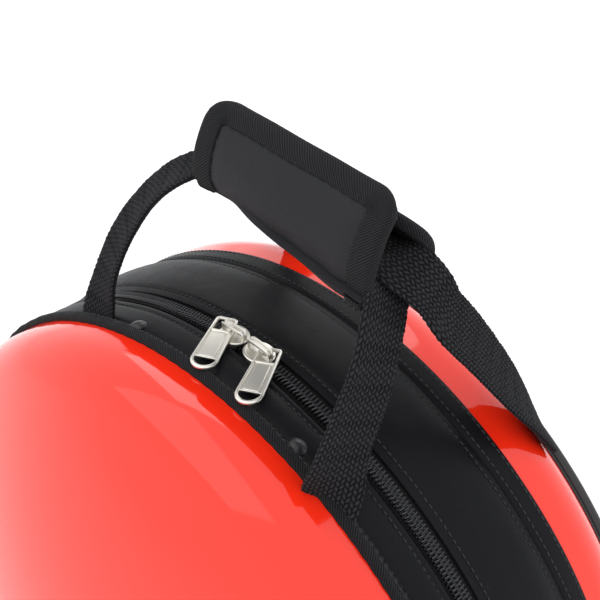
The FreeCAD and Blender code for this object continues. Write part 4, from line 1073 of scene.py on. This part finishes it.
def make_pull(name):
    pts, yb = pull_outline()
    rim = tube_ring("r", pts, [(0.0, 0.45), (0.0, 1.15), (0.22, 1.50), (0.60, 1.64), (1.05, 1.55), (1.30, 1.25), (1.40, 0.85), (1.40, 0.35), (1.10, 0.08), (0.30, 0.08)])
    wt, wb = 3.75, 4.6
    y0, y1 = yb + 0.9, -4.0
    plate = prism("p", poly_round([(-wb, y0), (wb, y0), (wt, y1), (-wt, y1)], 0.5, 3), [(0, 0.30), (0, 0.80), (0.12, 0.92)])
    field = prism("f", poly_round([(-wb + 1.25, y0 + 0.55), (wb - 1.25, y0 + 0.55), (wt - 0.95, y1 - 1.5), (-wt + 0.95, y1 - 1.5)], 0.6, 3), [(0, 0.85), (0.05, 1.18), (0.30, 1.34)])
    bar = prism("b", poly_round([(-wt - 0.1, y1 - 1.15), (wt + 0.1, y1 - 1.15), (wt + 0.05, y1 + 0.1), (-wt - 0.05, y1 + 0.1)], 0.3, 3), [(0, 0.30), (0, 1.30), (0.30, 1.56)])
    lip = prism("l", poly_round([(-wb, y0 - 0.05), (wb, y0 - 0.05), (wb, y0 + 0.75), (-wb, y0 + 0.75)], 0.2, 3), [(0, 0.30), (0, 1.05), (0.20, 1.25)])
    return join(name, [rim, plate, field, bar, lip])


def make_slider(name):
    r0 = 176.7
    circ = [(7.0 * math.cos(a), 6.2 * math.sin(a)) for a in np.linspace(0, 2 * math.pi, 56, endpoint=False)]
    obs = [prism("u", circ, [(0.5, r0 + 3.15), (0.0, r0 + 3.6), (0.0, r0 + 4.45), (0.35, r0 + 4.82), (0.95, r0 + 4.86), (1.35, r0 + 4.6), (2.2, r0 + 4.66), (3.4, r0 + 4.8)]),
           prism("d", circ, [(0.6, r0 - 3.2), (0.1, r0 - 2.9), (0.1, r0 - 2.0), (0.5, r0 - 1.7)])]
    # the wedge between the plates, and the side walls over the coil
    obs.append(prism("w", poly_round([(-2.6, -0.25), (2.6, -0.25), (2.6, 0.25), (-2.6, 0.25)], 0.15, 3), [(0, r0 - 2.2), (0, r0 + 3.4)]))
    for sy in (-1, 1):
        a = np.linspace(-0.95, 0.95, 22)
        o = [(6.6 * math.sin(x), sy * 5.9 * math.cos(x)) for x in a]
        i = [(5.9 * math.sin(x), sy * 5.15 * math.cos(x)) for x in a[::-1]]
        ring_ = o + i if sy < 0 else (o + i)[::-1]
        obs.append(prism("s", ring_, [(0, r0 + 1.75), (0, r0 + 3.5)]))
    # bridge: an arched bar with two long ribs and a groove between them
    z1, top = r0 + 4.7, r0 + 8.35
    pth = [(-6.15, z1 - 0.3), (-6.15, z1 + 1.2), (-5.9, top - 1.05), (-5.1, top - 0.2), (-3.8, top), (0.0, top + 0.12), (3.8, top), (5.1, top - 0.2), (5.9, top - 1.05), (6.15, z1 + 1.2), (6.15, z1 - 0.3)]
    pth = catmull(pth, 60)
    T = np.gradient(pth, axis=0)
    T /= np.linalg.norm(T, axis=1)[:, None]
    N = np.stack([-T[:, 1], T[:, 0]], -1)
    prof = np.array([(-1.7, -0.45), (-1.75, 0.1), (-1.6, 0.5), (-1.2, 0.66), (-0.8, 0.5), (-0.62, 0.12), (0.62, 0.12), (0.8, 0.5), (1.2, 0.66), (1.6, 0.5), (1.75, 0.1), (1.7, -0.45), (1.3, -0.62), (-1.3, -0.62)])
    endf = 1 - 0.35 * np.exp(-((np.abs(pth[:, 0]) - 6.15) / 0.7) ** 2)
    P = np.stack([pth[:, None, 0] + N[:, None, 0] * prof[None, :, 1], prof[None, :, 0] * endf[:, None] + 0 * pth[:, None, 0], pth[:, None, 1] + N[:, None, 1] * prof[None, :, 1]], -1)
    obs.append(grid("a", P, None, None, closev=True, caps=True, sharp=35, flip=False))
    return join(name, obs)


def surface_frame(deg):
    a = math.radians(deg)
    m = Matrix(((math.cos(a), 0, math.sin(a)), (0, 1, 0), (-math.sin(a), 0, math.cos(a)))).to_4x4()
    m.translation = Vector((0, ZIP, ZC)) * 0.001
    return m


for tag, deg, leg in (("left", -3.13, -1), ("right", 1.65, 1)):
    M = surface_frame(deg)
    sl = place(make_slider("slider_" + tag), M)
    done(sl, "nickel", "slider_" + tag, "nickel", "zip_slider_" + tag)
    local = Matrix.Translation(Vector((leg * 5.5, 0, 176.7 + 5.6)) * 0.001) @ Matrix.Rotation(math.radians(28), 4, "Z") @ Matrix.Rotation(math.radians(2.6), 4, "X") @ Matrix.Rotation(math.radians(-6.5 if tag == "right" else 0.0), 4, "Y")
    pl = place(make_pull("pull_" + tag), M @ local)
    done(pl, "nickel", "pull_" + tag, "nickel", "zip_pull_" + tag)

# ------------------------------------------------------------------ floor, light, camera
me = bpy.data.meshes.new("floor")
me.from_pydata([(-6, -6, 0), (6, -6, 0), (6, 6, 0), (-6, 6, 0)], [], [(0, 1, 2, 3)])
floor = bpy.data.objects.new("floor", me)
bpy.context.scene.collection.objects.link(floor)
kf = Kit("floor_paper")
kf.set(color=kf.mix(kf.noise(kf.obj(), 3.0, 2, 0.5), (0.985, 0.985, 0.985), (0.995, 0.995, 0.995)), rough=0.85, spec=0.1)
me.materials.append(kf.mat)

world = bpy.data.worlds.new("studio")
bpy.context.scene.world = world
world.use_nodes = True
world.node_tree.nodes["Background"].inputs[0].default_value = (0.97, 0.985, 1.0, 1)
world.node_tree.nodes["Background"].inputs[1].default_value = 1.13


def softbox(name, loc, target, sx, sy, power, color=(1, 1, 1)):
    l = bpy.data.lights.new(name, "AREA")
    l.shape, l.size, l.size_y, l.energy, l.color = "RECTANGLE", sx, sy, power, color
    o = bpy.data.objects.new(name, l)
    bpy.context.scene.collection.objects.link(o)
    o.location = loc
    o.rotation_euler = (Vector(target) - Vector(loc)).to_track_quat("-Z", "Y").to_euler()
    return o


softbox("key", (-0.7, -1.0, 1.9), (0, 0, 0.3), 1.9, 1.6, 5.5)
softbox("low_fill", (1.7, -0.6, 1.3), (0, 0, 0.3), 0.9, 0.9, 2)
softbox("metal", (-0.9, 0.84, 1.5), (0, 0, 0.3), 1.35, 1.1, 7.0)

# a dark flag high behind the bag keeps the top of the gusset black
me = bpy.data.meshes.new("flag")
me.from_pydata([(-4, 1.9, 1.95), (-2.7, 1.42, 1.95), (-1.6, 1.0, 1.95), (-0.5, 0.74, 1.95), (0.6, 0.74, 1.95), (0.6, 1.08, 1.95), (-0.5, 1.1, 1.95), (-1.3, 1.45, 1.95), (-2.4, 2.2, 1.95), (-4, 3.4, 1.95)], [], [tuple(range(10))])
flag = bpy.data.objects.new("flag", me)
bpy.context.scene.collection.objects.link(flag)
kg = Kit("flag_cloth")
kg.set(color=kg.mix(kg.noise(kg.obj(), 3.0, 2, 0.5), (0.012, 0.012, 0.012), (0.016, 0.016, 0.016)), rough=0.95, spec=0.1)
me.materials.append(kg.mat)
bpy.context.scene.view_settings.view_transform = "Standard"

az, el, roll = math.radians(44.3149), math.radians(37.8577), math.radians(2.821)
back = Vector((math.sin(az) * math.cos(el), -math.cos(az) * math.cos(el), math.sin(el)))
right = Vector((math.cos(az), math.sin(az), 0))
up = back.cross(right)
r2 = math.cos(roll) * right + math.sin(roll) * up
u2 = -math.sin(roll) * right + math.cos(roll) * up
cam = bpy.data.cameras.new("camera")
cam.lens, cam.sensor_width, cam.sensor_fit, cam.clip_start = 78.0, 36.0, "HORIZONTAL", 0.01
co = bpy.data.objects.new("camera", cam)
bpy.context.scene.collection.objects.link(co)
co.matrix_world = Matrix(((r2.x, u2.x, back.x, 0.2908), (r2.y, u2.y, back.y, -0.2870), (r2.z, u2.z, back.z, 0.6581), (0, 0, 0, 1)))
bpy.context.scene.camera = co

bpy.context.view_layer.update()
